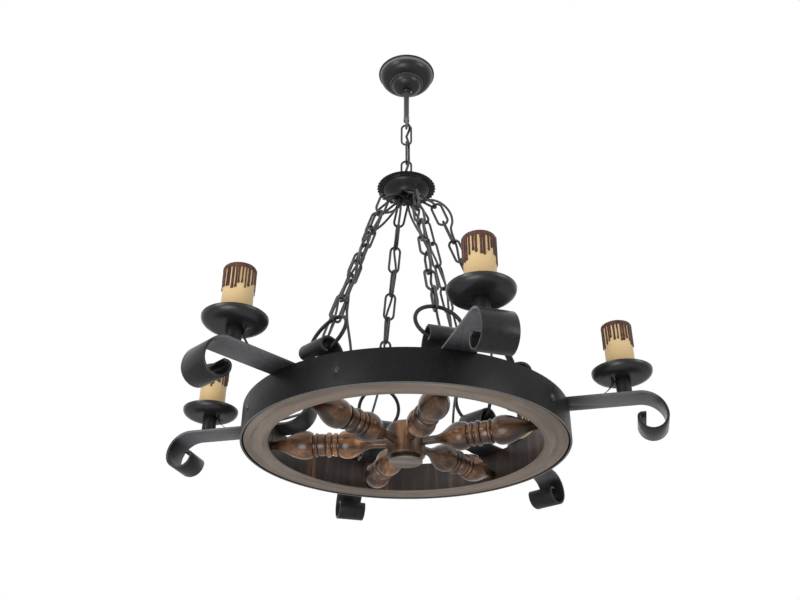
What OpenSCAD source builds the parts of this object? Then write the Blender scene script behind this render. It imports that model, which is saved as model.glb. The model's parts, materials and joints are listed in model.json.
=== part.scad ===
// Wagon wheel chandelier: an iron-banded wooden wheel with turned spokes, six scrolled
// iron arms with candle lamps, hung by six chains from a crown, three links, a rod and a canopy.
// Millimetres, +Z up. The origin is the middle of the ceiling fitting, and all hangs below it.
// Bearings turn anticlockwise seen from above, from the front (-Y) towards +X.

/* [Ceiling fitting] */
// Outer diameter of the canopy at its rim
canopy_d = 91; // [84:1:130]
// Depth of the canopy from the ceiling to its neck
canopy_h = 36; // [32:1:60]
// Thickness of the canopy's sheet
canopy_wall = 1.2; // [0.8:0.1:2]
// Diameter of the step half way down the canopy
canopy_step_d = 52; // [44:1:60]
// Distance between the two ceiling screws
bracket_pitch = 60; // [50:1:64]
// Width of the ceiling bracket
bracket_w = 18; // [16:1:24]
// Thickness of the ceiling bracket
bracket_t = 3; // [2:0.5:5]
// Diameter of each ceiling screw's hole
bracket_hole_d = 5; // [4:0.5:6]
// Diameter of the hollow rod
rod_d = 8.5; // [7.5:0.5:10]
// Bore of the hollow rod
rod_bore = 5.2; // [4.8:0.1:5.6]
// Length of the rod from the ceiling to its eye
rod_len = 95; // [85:1:400]
// Outer diameter of the collar under the canopy
collar_d = 14.5; // [13:0.5:20]
// Height of the collar
collar_h = 5; // [5:0.5:10]

/* [Chain] */
// Thickness of the chain's wire
wire_d = 3; // [2.5:0.1:3.5]
// Outer length of one link
link_len = 42.6; // [38:0.2:50]
// Outer width of one link
link_w = 18; // [17:0.5:22]
// Mean radius of the eye at the rod's end
rod_eye_rm = 8; // [8:0.5:11]
// Mean radius of the eye on the crown
crown_eye_rm = 5.5; // [5:0.5:9]
// Thickness of the eyes' wire
eye_wire = 4; // [3:0.5:5]
// Mean radius of the six hanging rings
ring_rm = 30; // [29:0.5:34]
// Thickness of the hanging rings' wire
ring_wire = 5; // [4:0.5:6]

/* [Crown] */
// Diameter of the crown's plate over its lobes
crown_d = 89; // [80:1:110]
// Number of lobes round the plate
crown_lobes = 38; // [24:2:48]
// Thickness of the plate
crown_t = 2.2; // [1.5:0.1:4]
// Diameter of the cup where it meets the plate
cup_top_d = 70; // [60:1:76]
// Diameter of the cup's mouth
cup_mouth_d = 40; // [38:1:48]
// Thickness of the cup's wall
cup_wall = 1.2; // [0.8:0.1:2]
// Height of the collar between the plate and its eye
crown_collar_h = 4.6; // [2:0.2:10]
// Radius at which the six chains hook on
hook_r = 14; // [13.5:0.1:14.5]
// Distance from the plate's top down to the hooks
hook_drop = 16.5; // [15:0.5:26]
// Angle of the first link below the horizontal
first_link_drop = 39; // [34:1:50]

/* [Wheel] */
// Outer diameter of the iron band
wheel_d = 420; // [400:5:500]
// Height of the wheel
wheel_h = 42; // [36:1:60]
// Radial width of the wooden rim
rim_w = 32; // [28:1:40]
// Thickness of the iron band
band_t = 2.4; // [1.5:0.1:4]
// Gap between the band and the wood
band_gap = 0.9; // [0.3:0.1:1]
// Diameter of the hub
hub_d = 50; // [46:1:60]
// Diameter of the hub's flat bottom disc
hub_disc_d = 46.5; // [36:0.5:50]
// How far the hub reaches below the wheel
hub_below = 17; // [12:1:30]
// Height of the hub's top above the wheel's bottom
hub_top = 34; // [26:1:42]
// Height of the spokes' axes above the wheel's bottom
spoke_z = 9; // [8:0.5:16]
// Largest radius of a spoke
spoke_bulb_r = 18.2; // [14:0.2:20]
// Radius of a spoke at its two ends
spoke_end_r = 5.4; // [4.5:0.1:6.5]
// Depth of the drilled seats that hold the spokes' ends
tenon = 9; // [6:0.5:12]

/* [Arms] */
// Width of the arms' flat bar
bar_w = 40; // [34:1:44]
// Thickness of the arms' flat bar
bar_t = 3; // [2:0.5:4]
// Radius that the arms reach, from the wheel's axis
arm_reach = 327; // [325:1:360]
// Outer radius of the first bend of the hanging scroll
scroll_a = 32; // [26:1:36]
// Outer radius of the scroll's lower outer bend
scroll_b = 19.5; // [17:0.5:22]
// Outer radius of the scroll's lower inner bend
scroll_c = 18; // [16:0.5:19]
// Outer radius of the scroll's last turn
scroll_d = 6; // [5:0.5:8]
// Radius from the wheel's axis to the middle of the upper curl
curl_r = 154; // [150:1:158]
// Outer radius of the bend that rises to the curl
curl_a = 32; // [26:1:36]
// Outer radius of the curl's inner top bend
curl_b = 25; // [24:1:28]
// Outer radius of the curl's outer top bend
curl_c = 15; // [13:0.5:18]
// Outer radius of the curl's last turn
curl_d = 7; // [6:0.5:9]
// Length of the straight tip of both scrolls
tip_len = 5; // [3:0.5:6]

/* [Candle lamps] */
// Radius from the wheel's axis to the candles
candle_r = 279; // [270:1:284]
// Diameter of the post under each tray
post_d = 19; // [16:1:21]
// Height of the post under each tray
post_h = 24; // [18:1:40]
// Diameter of the drip tray
tray_d = 75.4; // [66:0.2:84]
// Height of the drip tray
tray_h = 11.8; // [8:0.2:16]
// Thickness of the drip tray
tray_t = 1.2; // [0.8:0.1:2]
// Outer diameter of the candle sleeve
sleeve_d = 39.4; // [38:0.2:44]
// Height of the candle sleeve
sleeve_h = 75.5; // [70:0.5:120]
// Wall of the candle sleeve
sleeve_wall = 2; // [1.5:0.1:2.4]
// Diameter of the lamp holder
holder_d = 29; // [28.4:0.2:30]
// Diameter of the lamp holder's screw shell
socket_d = 26.6; // [26:0.1:27]
// Depth of the lamp holder's screw shell
socket_depth = 26; // [20:1:30]
// Distance from the holder's mouth down from the sleeve's top
holder_set_back = 14; // [8:1:20]

/* [Flexes] */
// Diameter of the main flex
main_flex_d = 4; // [3.4:0.2:4.2]
// Diameter of the branch flexes
branch_flex_d = 3; // [2.2:0.2:3.2]

/* [Hidden] */
// Free play between pieces that hook together or slide
play = 0.3;
// Play between pieces that stay fixed on each other
seat_play = 0.1;

// Bearings: the first arm, and the spokes as they stand in the wheel
arm_bearing = 16.5;
spoke_bearings = [14.5, 68, 136, 197.5, 266.5, 321];

// One link, measured as a chain maker does
link_in = link_len - 2 * wire_d;
pitch = link_in - play;
link_bend = (link_w - wire_d) / 2;
link_straight = (link_len - link_w) / 2;
wire_r = wire_d / 2;
tip_to_mid = link_in / 2 + wire_r;

// Rod, upper eye and the three links
rod_top = -0.5;
eye_z = -rod_len - rod_eye_rm - eye_wire / 2;
upper_tip_z = eye_z - rod_eye_rm + eye_wire / 2 + wire_r + play;
upper_mid_z = upper_tip_z - tip_to_mid;
lower_mid_z = upper_mid_z - 2 * pitch;
crown_eye_z = lower_mid_z - link_in / 2 + eye_wire / 2 + play - crown_eye_rm;

// Canopy
rim_bead = 2.4;
canopy_r = canopy_d / 2;
step_r = canopy_step_d / 2;
step_z = -0.56 * canopy_h;
neck_r = collar_d / 2;
ridge_r = 0.9;
grub_d = 3;

// Nuts and screws
nut_h = 5;
nut_af = 15;
screw_r = 2.4;
screw_head_r = 4.6;
screw_head_h = 2.6;
arm_screw_len = 20;
band_screw_len = 14;
arm_screw_inset = [8, 24];

// The side slot where the main flex enters the rod
slot_len = 16;
slot_top = -bracket_t - nut_h - 9;

// Crown
plate_top = crown_eye_z - crown_eye_rm - crown_collar_h;
plate_bottom = plate_top - crown_t;
lobe_r = 2.4;
hook_z = plate_top - hook_drop;
roof_t = 1.5;
roof_bottom = plate_bottom - roof_t;
stem_r = 3.6;
spider_hub_r = 6;
lug_t = 3;
lug_r = 4.6;
lug_hole_r = wire_r + 0.7;
spider_low = hook_z - lug_r - 1;
cup_mouth_z = hook_z - 1;
flex_hole = [-9.6, -3];

// One branch chain, in the plane of its arm: x is the radius, z is the height
links = 8;
first_dir = [cos(first_link_drop), -sin(first_link_drop)];
hook_tip = [hook_r, hook_z];
first_end = hook_tip + 2 * tip_to_mid * first_dir;
ring_hold = sqrt(pow(ring_rm - ring_wire / 2, 2) - pow(bar_w / 2, 2));
top_to_ring = 2 * tip_to_mid - wire_r + (links - 2) * pitch - ring_wire / 2 - play;
hang_len = top_to_ring - wire_d - play + ring_rm + ring_hold - play + curl_b - bar_t;
curl_run = curl_r - first_end[0];
curl_z = first_end[1] - sqrt(pow(hang_len, 2) - pow(curl_run, 2));
hang_dir = [curl_run, curl_z - first_end[1]] / hang_len;
second_tip = first_end - (wire_d + play) * hang_dir;
out_dir = [-hang_dir[1], hang_dir[0]];
second_mid = second_tip + tip_to_mid * hang_dir;
ring_mid = second_tip + (top_to_ring + ring_rm) * hang_dir;

// Wheel: its bottom face follows from the chains
wheel_z = curl_z - curl_a - wheel_h;
wheel_r = wheel_d / 2;
wood_out = wheel_r - band_t - band_gap;
wood_in = wood_out - rim_w;
wood_lift = 0.8;
wood_edge = 1.6;
seat_r = spoke_end_r + seat_play;
hub_r = hub_d / 2;
spoke_in = hub_r - tenon + 1;
spoke_out = wood_in + tenon - 1;

// Arms
bar_top = wheel_h + bar_t;
arm_flat_in = curl_r - curl_b + curl_a;
arm_flat_out = arm_reach - scroll_a;
arm_screw_r = [for (inset = arm_screw_inset) wood_in + inset];
band_screw_z = wheel_h / 2;
band_screw_bearings = [for (k = [0 : 2]) for (side = [-1, 1]) arm_bearing + 120 * k + side * 38];

// Candle lamps, above the wheel's bottom
tray_z = bar_top + post_h;
tray_floor = tray_z + tray_t;
tray_flat_r = sleeve_d / 2 + 1.5;
sleeve_z = tray_floor + play;
sleeve_top = sleeve_z + sleeve_h;
sleeve_lip_r = holder_d / 2 + play;
lip_round = 5;
holder_top = sleeve_top - holder_set_back;
holder_floor = 1.6;
nipple_r = 5;
nipple_bore_r = 3.4;
nipple_in_post = 16;
nipple_in_holder = 8;
post_bore_r = nipple_r + seat_play;
cable_r = post_d / 2 + branch_flex_d / 2 + 0.6;
cable_hole_r = branch_flex_d / 2 + 0.5;

// Flexes: how far they keep from the links, and their routes by hand
sides = 8;
main_off = wire_r + main_flex_d / 2 + play;
branch_off = wire_r + branch_flex_d / 2 + play;
flex_z = bar_top + branch_flex_d / 2 + play;
// From the crown to the third link: radius, sideways, height above the hooks
inner_start = [[9, 5.2, 6], [9.4, 5.4, -6], [14, 5.5, -22], [25, 5, -37], [38, 4, -50]];
// The same on arm 2, whose flex comes up through the first link and bows outwards
bowed_start = [
    [9, 5.2, 6], [9.5, 5.2, -4], [13, 4.4, -10], [20, 3.9, -10.5], [27, 3.8, -9], [35, 3.8, -8.6],
    [47, 4, -13], [59, 4, -25], [67, 4, -41], [68.5, 4, -56], [66, 2, -68]
];
// From the last link to the arm: radius, sideways, height above the wheel's bottom
flex_leave = [112.6, 4, 171];
flex_end = [
    [115, 4.6, 153], [115, 7, 134], [115, 12, 112], [117, 18, 88], [122, 23, 66], [131, 25.3, 54],
    [146, 25.6, 49.6]
];
flex_on_bar = [[163, 23.4, 0.6], [183, 17, 0], [204, 11, 0], [227, 6, 0], [247, 2, 0], [258, 0.5, 0.6]];

$fn = 48;

iron = [0.14, 0.14, 0.15];
dark_wood = [0.32, 0.2, 0.12];
grey_wood = [0.47, 0.42, 0.38];
cream = [0.87, 0.77, 0.57];
bright = [0.6, 0.6, 0.6];
black = [0.06, 0.06, 0.06];

// ---- Helpers ----

// Turns what is drawn along +X to a bearing
module at_bearing(bearing) {
    rotate([0, 0, bearing - 90])
        children();
}

// Puts a piece on arm k, counted from 1
module on_arm(k) {
    at_bearing(arm_bearing + 60 * (k - 1))
        children();
}

module on_wheel() {
    translate([0, 0, wheel_z])
        children();
}

// Puts a piece at candle k, standing on its arm
module at_candle(k) {
    on_wheel()
        on_arm(k)
            translate([candle_r, 0, 0])
                children();
}

// A wire ring in the XZ plane
module wire_ring(mean_r, wire) {
    rotate([90, 0, 0])
        rotate_extrude()
            translate([mean_r, 0])
                circle(d = wire, $fn = 24);
}

// One link, standing along Z in the XZ plane
module link() {
    for (side = [-1, 1])
        translate([side * link_bend, 0, -link_straight])
            cylinder(h = 2 * link_straight, r = wire_r, $fn = 24);
    for (turn = [0, 180])
        rotate([0, turn, 0])
            translate([0, 0, link_straight])
                rotate([90, 0, 0])
                    rotate_extrude(angle = 180)
                        translate([link_bend, 0])
                            circle(r = wire_r, $fn = 24);
}

// A link of a branch chain: its middle and run lie in the XZ plane
module laid_link(mid, dir, across) {
    translate([mid[0], 0, mid[1]])
        rotate([0, atan2(dir[0], dir[1]), 0])
            rotate([0, 0, across ? 90 : 0])
                link();
}

module hex_nut(af, height, hole_r) {
    difference() {
        cylinder(h = height, d = af / cos(30), $fn = 6);
        translate([0, 0, -1])
            cylinder(h = height + 2, r = hole_r);
    }
}

// A bend of flat bar with its axis along Y
module bar_bend(mid_x, mid_z, out_r, from, sweep) {
    translate([mid_x, 0, mid_z])
        rotate([90, 0, 0])
            rotate_extrude(angle = sweep, start = from, $fn = 96)
                translate([out_r - bar_t, -bar_w / 2])
                    square([bar_t, bar_w]);
}

module flat_bar(from_x, to_x, low_z) {
    translate([from_x, -bar_w / 2, low_z])
        cube([to_x - from_x, bar_w, bar_t]);
}

// Smooth steps between two values
function ease(t) = (1 - cos(180 * t)) / 2;
function unit(v) = v / norm(v);

// A curve through hand-set points, with n steps between neighbours
function through(p, n) = [
    for (i = [0 : len(p) - 2])
        let (a = p[max(i - 1, 0)], b = p[i], c = p[i + 1], d = p[min(i + 2, len(p) - 1)])
            for (k = [0 : n - 1])
                let (t = k / n)
                    (2 * b + (c - a) * t + (2 * a - 5 * b + 4 * c - d) * t * t
                        + (3 * b - a - 3 * c + d) * t * t * t) / 2,
    p[len(p) - 1]
];
function but_last(p) = [for (i = [0 : len(p) - 2]) p[i]];

// The ring of points round a route where it runs along t
function ring_at(p, t, across, r) =
    let (n1 = unit(cross(across, t)), n2 = cross(t, n1))
        [for (s = [0 : sides - 1]) p + r * (cos(360 * s / sides) * n1 + sin(360 * s / sides) * n2)];

// A tube swept along a route; the route never runs along `across`
module tube(route, d, across) {
    last = len(route) - 1;
    rings = [
        for (i = [0 : last])
            ring_at(route[i], unit(route[min(i + 1, last)] - route[max(i - 1, 0)]), across, d / 2)
    ];
    walls = [
        for (i = [0 : last - 1])
            for (s = [0 : sides - 1])
                let (a = i * sides + s, b = i * sides + (s + 1) % sides)
                    each [[a, a + sides, b], [b, a + sides, b + sides]]
    ];
    caps = [
        for (s = [1 : sides - 2])
            each [[0, s, s + 1], [last * sides, last * sides + s + 1, last * sides + s]]
    ];
    polyhedron(points = [for (ring = rings) each ring], faces = concat(walls, caps));
}

// Where a flex lies in the cross-section of a chain, x steps past the middle of link 1's end:
// a quarter turn a link, slow where two links cross and nearer the axis between
function weave(x, start, off) =
    let (
        k = floor(x),
        f = x - k,
        angle = start - 90 * (k + f - 0.12 * sin(360 * f)),
        mid_off = min(off, link_w / 2 - wire_d - off + wire_r),
        reach = mid_off + (off * sqrt(2) - mid_off) * (1 + cos(360 * f)) / 2
    )
        reach * [cos(angle), sin(angle)];

// ---- Ceiling fitting ----

module ceiling_bracket() {
    color(bright)
        difference() {
            linear_extrude(bracket_t)
                difference() {
                    union() {
                        square([bracket_pitch - 4, bracket_w], center = true);
                        for (side = [-1, 1])
                            translate([side * (bracket_pitch / 2 - 2), 0])
                                circle(d = bracket_w);
                    }
                    for (side = [-1, 1])
                        translate([side * bracket_pitch / 2, 0])
                            circle(d = bracket_hole_d);
                    circle(d = rod_d + 2 * seat_play);
                }
        }
}

module bracket_in_place() {
    translate([0, 0, -bracket_t])
        ceiling_bracket();
}

module hanger_rod() {
    boss_h = rod_eye_rm / 2 + eye_wire / 2;
    color(iron)
        difference() {
            union() {
                translate([0, 0, -rod_len])
                    cylinder(h = rod_len + rod_top, d = rod_d);
                translate([0, 0, -rod_len - boss_h])
                    cylinder(h = boss_h + 2, d = rod_d + 0.8);
                translate([0, 0, eye_z])
                    rotate([0, 0, 90])
                        wire_ring(rod_eye_rm, eye_wire);
            }
            translate([0, 0, -rod_len - boss_h - 1])
                cylinder(h = rod_len, d = rod_bore);
            translate([0, -rod_bore / 2, slot_top - slot_len])
                cube([rod_d, rod_bore, slot_len]);
        }
}

module lock_nut() {
    color(bright)
        translate([0, 0, -bracket_t - nut_h])
            hex_nut(nut_af, nut_h, rod_d / 2 + seat_play);
}

module terminal_block() {
    color([0.85, 0.85, 0.82])
        translate([13.5, -7, -bracket_t - 12])
            difference() {
                cube([18, 14, 12]);
                for (y = [3.8, 10.2])
                    translate([5, y, -1])
                        cylinder(h = 5, r = 1.8);
                for (y = [3.8, 10.2])
                    translate([13, y, -1])
                        cylinder(h = 5, r = 1.8);
            }
}

// The canopy's outline from its rim to its neck: bell, ridge and dome, drawn in by a wall
function canopy_outline(inset) = concat(
    [
        for (a = [0 : 9 : 90])
            [step_r + (canopy_r - rim_bead - step_r - inset) * cos(a),
             -rim_bead + (step_z + rim_bead + inset) * sin(a)]
    ],
    [for (a = [50 : -25 : -50]) [step_r - inset + ridge_r * cos(a), step_z - ridge_r + ridge_r * sin(a)]],
    [
        for (a = [0 : 9 : 90])
            [neck_r + (step_r - 2 - neck_r - inset) * cos(a),
             step_z - 2 * ridge_r - (canopy_h + step_z - 2 * ridge_r - inset) * sin(a)]
    ]
);

module canopy() {
    inner = canopy_outline(canopy_wall);
    bead_r = rim_bead / 2;
    hole_r = rod_d / 2 + play;
    color(iron)
        rotate_extrude($fn = 96)
            polygon(concat(
                [[inner[0][0], 0]],
                [
                    for (a = [90 : -22.5 : -90])
                        [canopy_r - bead_r + bead_r * cos(a), bead_r * sin(a) - bead_r]
                ],
                canopy_outline(0), [[hole_r, -canopy_h], [hole_r, canopy_wall - canopy_h]],
                [for (i = [len(inner) - 1 : -1 : 0]) inner[i]]
            ));
}

module canopy_collar() {
    color(iron)
        translate([0, 0, -canopy_h - collar_h])
            difference() {
                rotate_extrude()
                    polygon([
                        [rod_d / 2 + play, 0], [collar_d / 2 - 1.2, 0], [collar_d / 2, 1.2],
                        [collar_d / 2, collar_h - 1.2], [collar_d / 2 - 1.2, collar_h],
                        [rod_d / 2 + play, collar_h]
                    ]);
                translate([0, 0, collar_h / 2])
                    rotate([0, 90, 0])
                        cylinder(h = collar_d, d = grub_d + 2 * seat_play, $fn = 24);
            }
}

module collar_screw() {
    color(bright)
        translate([rod_d / 2 + play, 0, -canopy_h - collar_h / 2])
            rotate([0, 90, 0])
                cylinder(h = (collar_d - rod_d) / 2 + 1, d = grub_d, $fn = 24);
}

// ---- The three links under the rod ----

module upper_link(k) {
    color(iron)
        translate([0, 0, upper_mid_z - (k - 1) * pitch])
            rotate([0, 0, k == 2 ? 90 : 0])
                link();
}

// ---- Crown ----

module crown_eye() {
    color(iron) {
        translate([0, 0, crown_eye_z])
            rotate([0, 0, 90])
                wire_ring(crown_eye_rm, eye_wire);
        translate([0, 0, plate_top])
            cylinder(h = crown_collar_h, r = stem_r + 1.2);
        translate([0, 0, spider_low - nut_h])
            cylinder(h = plate_top - spider_low + nut_h + 1, r = stem_r);
    }
}

module crown_plate() {
    rim_r = crown_d / 2 - lobe_r;
    color(iron)
        difference() {
            union() {
                translate([0, 0, plate_bottom])
                    linear_extrude(crown_t) {
                        circle(r = rim_r, $fn = 96);
                        for (k = [0 : crown_lobes - 1])
                            rotate(360 * k / crown_lobes)
                                translate([rim_r, 0])
                                    circle(r = lobe_r, $fn = 16);
                    }
                translate([0, 0, plate_bottom - 1.4])
                    rotate_extrude($fn = 96)
                        translate([cup_top_d / 2 + 1, 0])
                            square([1.6, 2]);
            }
            translate([0, 0, plate_bottom - 1])
                cylinder(h = crown_t + 2, r = stem_r + seat_play);
            translate([flex_hole[0], flex_hole[1], plate_bottom - 1])
                cylinder(h = crown_t + 2, d = main_flex_d + 1);
        }
}

// The cup flares from its mouth up to the plate
function cup_outline(inset) = [
    for (t = [0 : 0.1 : 1])
        [cup_mouth_d / 2 - inset + (cup_top_d - cup_mouth_d) / 2 * (1 - ease(t)),
         plate_bottom - t * (plate_bottom - cup_mouth_z)]
];

module crown_cup() {
    color(iron)
        difference() {
            rotate_extrude($fn = 96)
                difference() {
                    polygon(concat([[0, plate_bottom]], cup_outline(0), [[0, cup_mouth_z]]));
                    intersection() {
                        polygon(concat(
                            [[0, plate_bottom]], cup_outline(cup_wall),
                            [[cup_mouth_d / 2 - cup_wall, cup_mouth_z - 1], [0, cup_mouth_z - 1]]
                        ));
                        translate([0, cup_mouth_z - 2])
                            square([cup_top_d, roof_bottom - cup_mouth_z + 2]);
                    }
                }
            translate([0, 0, roof_bottom - 1])
                cylinder(h = roof_t + 2, r = stem_r + seat_play);
            translate([flex_hole[0], flex_hole[1], roof_bottom - 1])
                cylinder(h = roof_t + 2, d = main_flex_d + 1);
        }
}

// A hub with six pierced lugs, one for each branch chain
module chain_spider() {
    hole = hook_tip - (lug_hole_r - wire_r - play) * first_dir;
    lug_in = spider_hub_r - 1;
    color(iron)
        difference() {
            union() {
                translate([0, 0, spider_low])
                    cylinder(h = roof_bottom - spider_low, r = spider_hub_r);
                for (k = [1 : 6])
                    on_arm(k)
                        translate([0, lug_t / 2, 0])
                            rotate([90, 0, 0])
                                linear_extrude(lug_t)
                                    polygon(concat(
                                        [[lug_in, hook_z - lug_r]],
                                        [for (a = [-90 : 15 : 90]) hole + lug_r * [cos(a), sin(a)]],
                                        [[lug_in, hook_z + lug_r]]
                                    ));
            }
            for (k = [1 : 6])
                on_arm(k)
                    translate([hole[0], lug_t, hole[1]])
                        rotate([90, 0, 0])
                            cylinder(h = 2 * lug_t, r = lug_hole_r, $fn = 24);
            translate([0, 0, spider_low - 1])
                cylinder(h = roof_bottom - spider_low + 2, r = stem_r + seat_play);
        }
}

module crown_nut() {
    color(iron)
        translate([0, 0, spider_low - nut_h])
            hex_nut(13, nut_h, stem_r + seat_play);
}

// ---- Branch chains and hanging rings ----

module branch_chain(k) {
    color(iron)
        on_arm(k) {
            laid_link(hook_tip + tip_to_mid * first_dir, first_dir, true);
            for (i = [2 : links])
                laid_link(second_mid + (i - 2) * pitch * hang_dir, hang_dir, i % 2 == 1);
        }
}

module hanging_rings() {
    color(iron)
        for (k = [1 : 6])
            on_arm(k)
                translate([ring_mid[0], 0, ring_mid[1]])
                    rotate([0, atan2(hang_dir[0], hang_dir[1]), 0])
                        rotate([0, 0, 90])
                            wire_ring(ring_rm, ring_wire);
}

// ---- Wheel ----

module iron_band() {
    color(iron)
        on_wheel()
            difference() {
                cylinder(h = wheel_h, r = wheel_r, $fn = 180);
                translate([0, 0, -1])
                    cylinder(h = wheel_h + 2, r = wheel_r - band_t, $fn = 180);
                for (bearing = band_screw_bearings)
                    at_bearing(bearing)
                        translate([wheel_r - 2 * band_t, 0, band_screw_z])
                            rotate([0, 90, 0])
                                cylinder(h = 4 * band_t, r = screw_r + seat_play, $fn = 24);
            }
}

module wooden_rim() {
    color(grey_wood)
        on_wheel()
            difference() {
                rotate_extrude($fn = 180)
                    polygon([
                        [wood_in, wood_lift + wood_edge], [wood_in + wood_edge, wood_lift],
                        [wood_out - wood_edge, wood_lift], [wood_out, wood_lift + wood_edge],
                        [wood_out, wheel_h], [wood_in, wheel_h]
                    ]);
                for (bearing = spoke_bearings)
                    at_bearing(bearing)
                        translate([wood_in - 2, 0, spoke_z])
                            rotate([0, 90, 0])
                                cylinder(h = tenon + 2, r = seat_r, $fn = 32);
                for (bearing = band_screw_bearings)
                    at_bearing(bearing)
                        translate([wood_out - band_screw_len, 0, band_screw_z])
                            rotate([0, 90, 0])
                                cylinder(h = 2 * band_screw_len, r = screw_r + seat_play, $fn = 24);
                for (k = [1 : 6])
                    on_arm(k)
                        for (x = arm_screw_r)
                            translate([x, 0, wheel_h - arm_screw_len])
                                cylinder(h = 2 * arm_screw_len, r = screw_r + seat_play, $fn = 24);
            }
}

// The hub's turned outline, from its bottom disc to its top
function hub_outline() = concat(
    [[0, -hub_below], [hub_disc_d / 2 - 1, -hub_below], [hub_disc_d / 2, -hub_below + 1]],
    [
        for (t = [0 : 0.2 : 1])
            [hub_disc_d / 2 - 1.8 * sin(180 * t) + (hub_r - hub_disc_d / 2) * ease(t),
             -hub_below + 3 + 4 * t]
    ],
    [
        for (t = [0 : 0.2 : 1])
            [hub_r - 2.5 * ease(t), hub_top - 6 + 4 * t]
    ],
    [[hub_r - 5, hub_top], [0, hub_top]]
);

module hub() {
    color(dark_wood)
        on_wheel()
            difference() {
                rotate_extrude($fn = 96)
                    polygon(hub_outline());
                for (bearing = spoke_bearings)
                    at_bearing(bearing)
                        translate([hub_r - tenon, 0, spoke_z])
                            rotate([0, 90, 0])
                                cylinder(h = tenon + 2, r = seat_r, $fn = 32);
            }
}

// A stretch of turning between two stations, eased from radius r0 to r1
function swell(x0, x1, r0, r1, n) =
    [for (i = [0 : n]) [x0 + (x1 - x0) * i / n, r0 + (r1 - r0) * ease(i / n)]];

// A rounded bead between two stations
function bead(x0, x1, low, high, n) =
    [for (i = [0 : n]) [x0 + (x1 - x0) * i / n, low + (high - low) * sqrt(sin(180 * i / n))]];

// The spoke's turned outline: neck, bulb, two beads between grooves, bulb and taper
function spoke_outline() =
    let (span = wood_in - hub_r, x = function(f) hub_r + f * span, b = spoke_bulb_r)
        concat(
            [[spoke_in, spoke_end_r], [x(0.1), spoke_end_r]],
            swell(x(0.11), x(0.345), spoke_end_r, b - 0.8, 10),
            swell(x(0.35), x(0.405), b - 0.8, b - 4.4, 4),
            bead(x(0.42), x(0.48), b - 4.8, b - 2.2, 6),
            bead(x(0.495), x(0.585), b - 4, b - 2, 8),
            bead(x(0.6), x(0.625), b - 5, b - 3.6, 4),
            swell(x(0.635), x(0.675), b - 4, b, 4),
            swell(x(0.69), x(0.91), b, spoke_end_r + 0.6, 10),
            [[x(0.98), spoke_end_r], [spoke_out, spoke_end_r]]
        );

module spoke(k) {
    outline = spoke_outline();
    color(dark_wood)
        on_wheel()
            at_bearing(spoke_bearings[k - 1])
                translate([0, 0, spoke_z])
                    rotate([90, 0, 90])
                        rotate_extrude($fn = 48)
                            polygon(concat(
                                [[0, spoke_in]], [for (p = outline) [p[1], p[0]]], [[0, spoke_out]]
                            ));
}

module wheel_screws() {
    color(iron)
        on_wheel() {
            for (k = [1 : 6])
                on_arm(k)
                    for (x = arm_screw_r)
                        translate([x, 0, bar_top])
                            round_screw(arm_screw_len + bar_t - 1);
            for (bearing = band_screw_bearings)
                at_bearing(bearing)
                    translate([wheel_r + 0.05, 0, band_screw_z])
                        rotate([0, 90, 0])
                            round_screw(band_screw_len);
        }
}

// A round-headed screw whose head sits on z = 0
module round_screw(length) {
    ball_r = (screw_head_r * screw_head_r + screw_head_h * screw_head_h) / (2 * screw_head_h);
    translate([0, 0, -length])
        cylinder(h = length + 0.5, r = screw_r, $fn = 24);
    intersection() {
        translate([0, 0, screw_head_h - ball_r])
            sphere(r = ball_r, $fn = 48);
        cylinder(h = screw_head_h, r = screw_head_r, $fn = 48);
    }
}

// ---- Arms ----

// Flat bar: the hanging scroll outside, the upper curl inside
module arm(k) {
    low_r = arm_reach - scroll_b;
    low_z = bar_top - scroll_a;
    last_z = low_z - scroll_b + scroll_c;
    last_x = low_r - scroll_c + scroll_d;
    eye_mid_z = wheel_h + curl_a;
    top_z = eye_mid_z + curl_b - curl_c;
    hook_x = curl_r + curl_c - curl_d;
    color(iron)
        on_wheel()
            on_arm(k)
                difference() {
                    union() {
                        flat_bar(arm_flat_in, arm_flat_out, wheel_h);
                        bar_bend(arm_flat_out, low_z, scroll_a, 0, 90);
                        bar_bend(low_r, low_z, scroll_b, 270, 90);
                        bar_bend(low_r, last_z, scroll_c, 180, 90);
                        bar_bend(last_x, last_z, scroll_d, 90, 90);
                        flat_bar(last_x, last_x + tip_len, last_z + scroll_d - bar_t);
                        bar_bend(arm_flat_in, eye_mid_z, curl_a, 180, 90);
                        bar_bend(curl_r, eye_mid_z, curl_b, 90, 90);
                        bar_bend(curl_r, top_z, curl_c, 0, 90);
                        bar_bend(hook_x, top_z, curl_d, 270, 90);
                        flat_bar(hook_x - tip_len, hook_x, top_z - curl_d);
                    }
                    for (x = arm_screw_r)
                        translate([x, 0, wheel_h - 1])
                            cylinder(h = bar_t + 2, r = screw_r + seat_play, $fn = 24);
                }
}

// ---- Candle lamps ----

module arm_posts() {
    color(iron)
        for (k = [1 : 6])
            at_candle(k)
                translate([0, 0, bar_top])
                    difference() {
                        cylinder(h = post_h, d = post_d);
                        translate([0, 0, post_h - nipple_in_post - 1])
                            cylinder(h = nipple_in_post + 2, r = post_bore_r);
                    }
}

// The tray's outline from its flat floor out to the rim
function tray_outline(lift) = [
    for (t = [0 : 0.125 : 1])
        [tray_flat_r + (tray_d / 2 - tray_flat_r) * sin(90 * t),
         lift + (tray_h - tray_t) * (1 - cos(90 * t))]
];

module drip_tray(k) {
    upper = tray_outline(tray_t);
    color(iron)
        at_candle(k)
            translate([0, 0, tray_z])
                difference() {
                    rotate_extrude($fn = 96)
                        polygon(concat(
                            [[nipple_r + seat_play, 0]], tray_outline(0),
                            [for (i = [len(upper) - 1 : -1 : 0]) upper[i]],
                            [[nipple_r + seat_play, tray_t]]
                        ));
                    translate([-cable_r, 0, -1])
                        cylinder(h = tray_t + 2, r = cable_hole_r, $fn = 24);
                }
}

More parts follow.
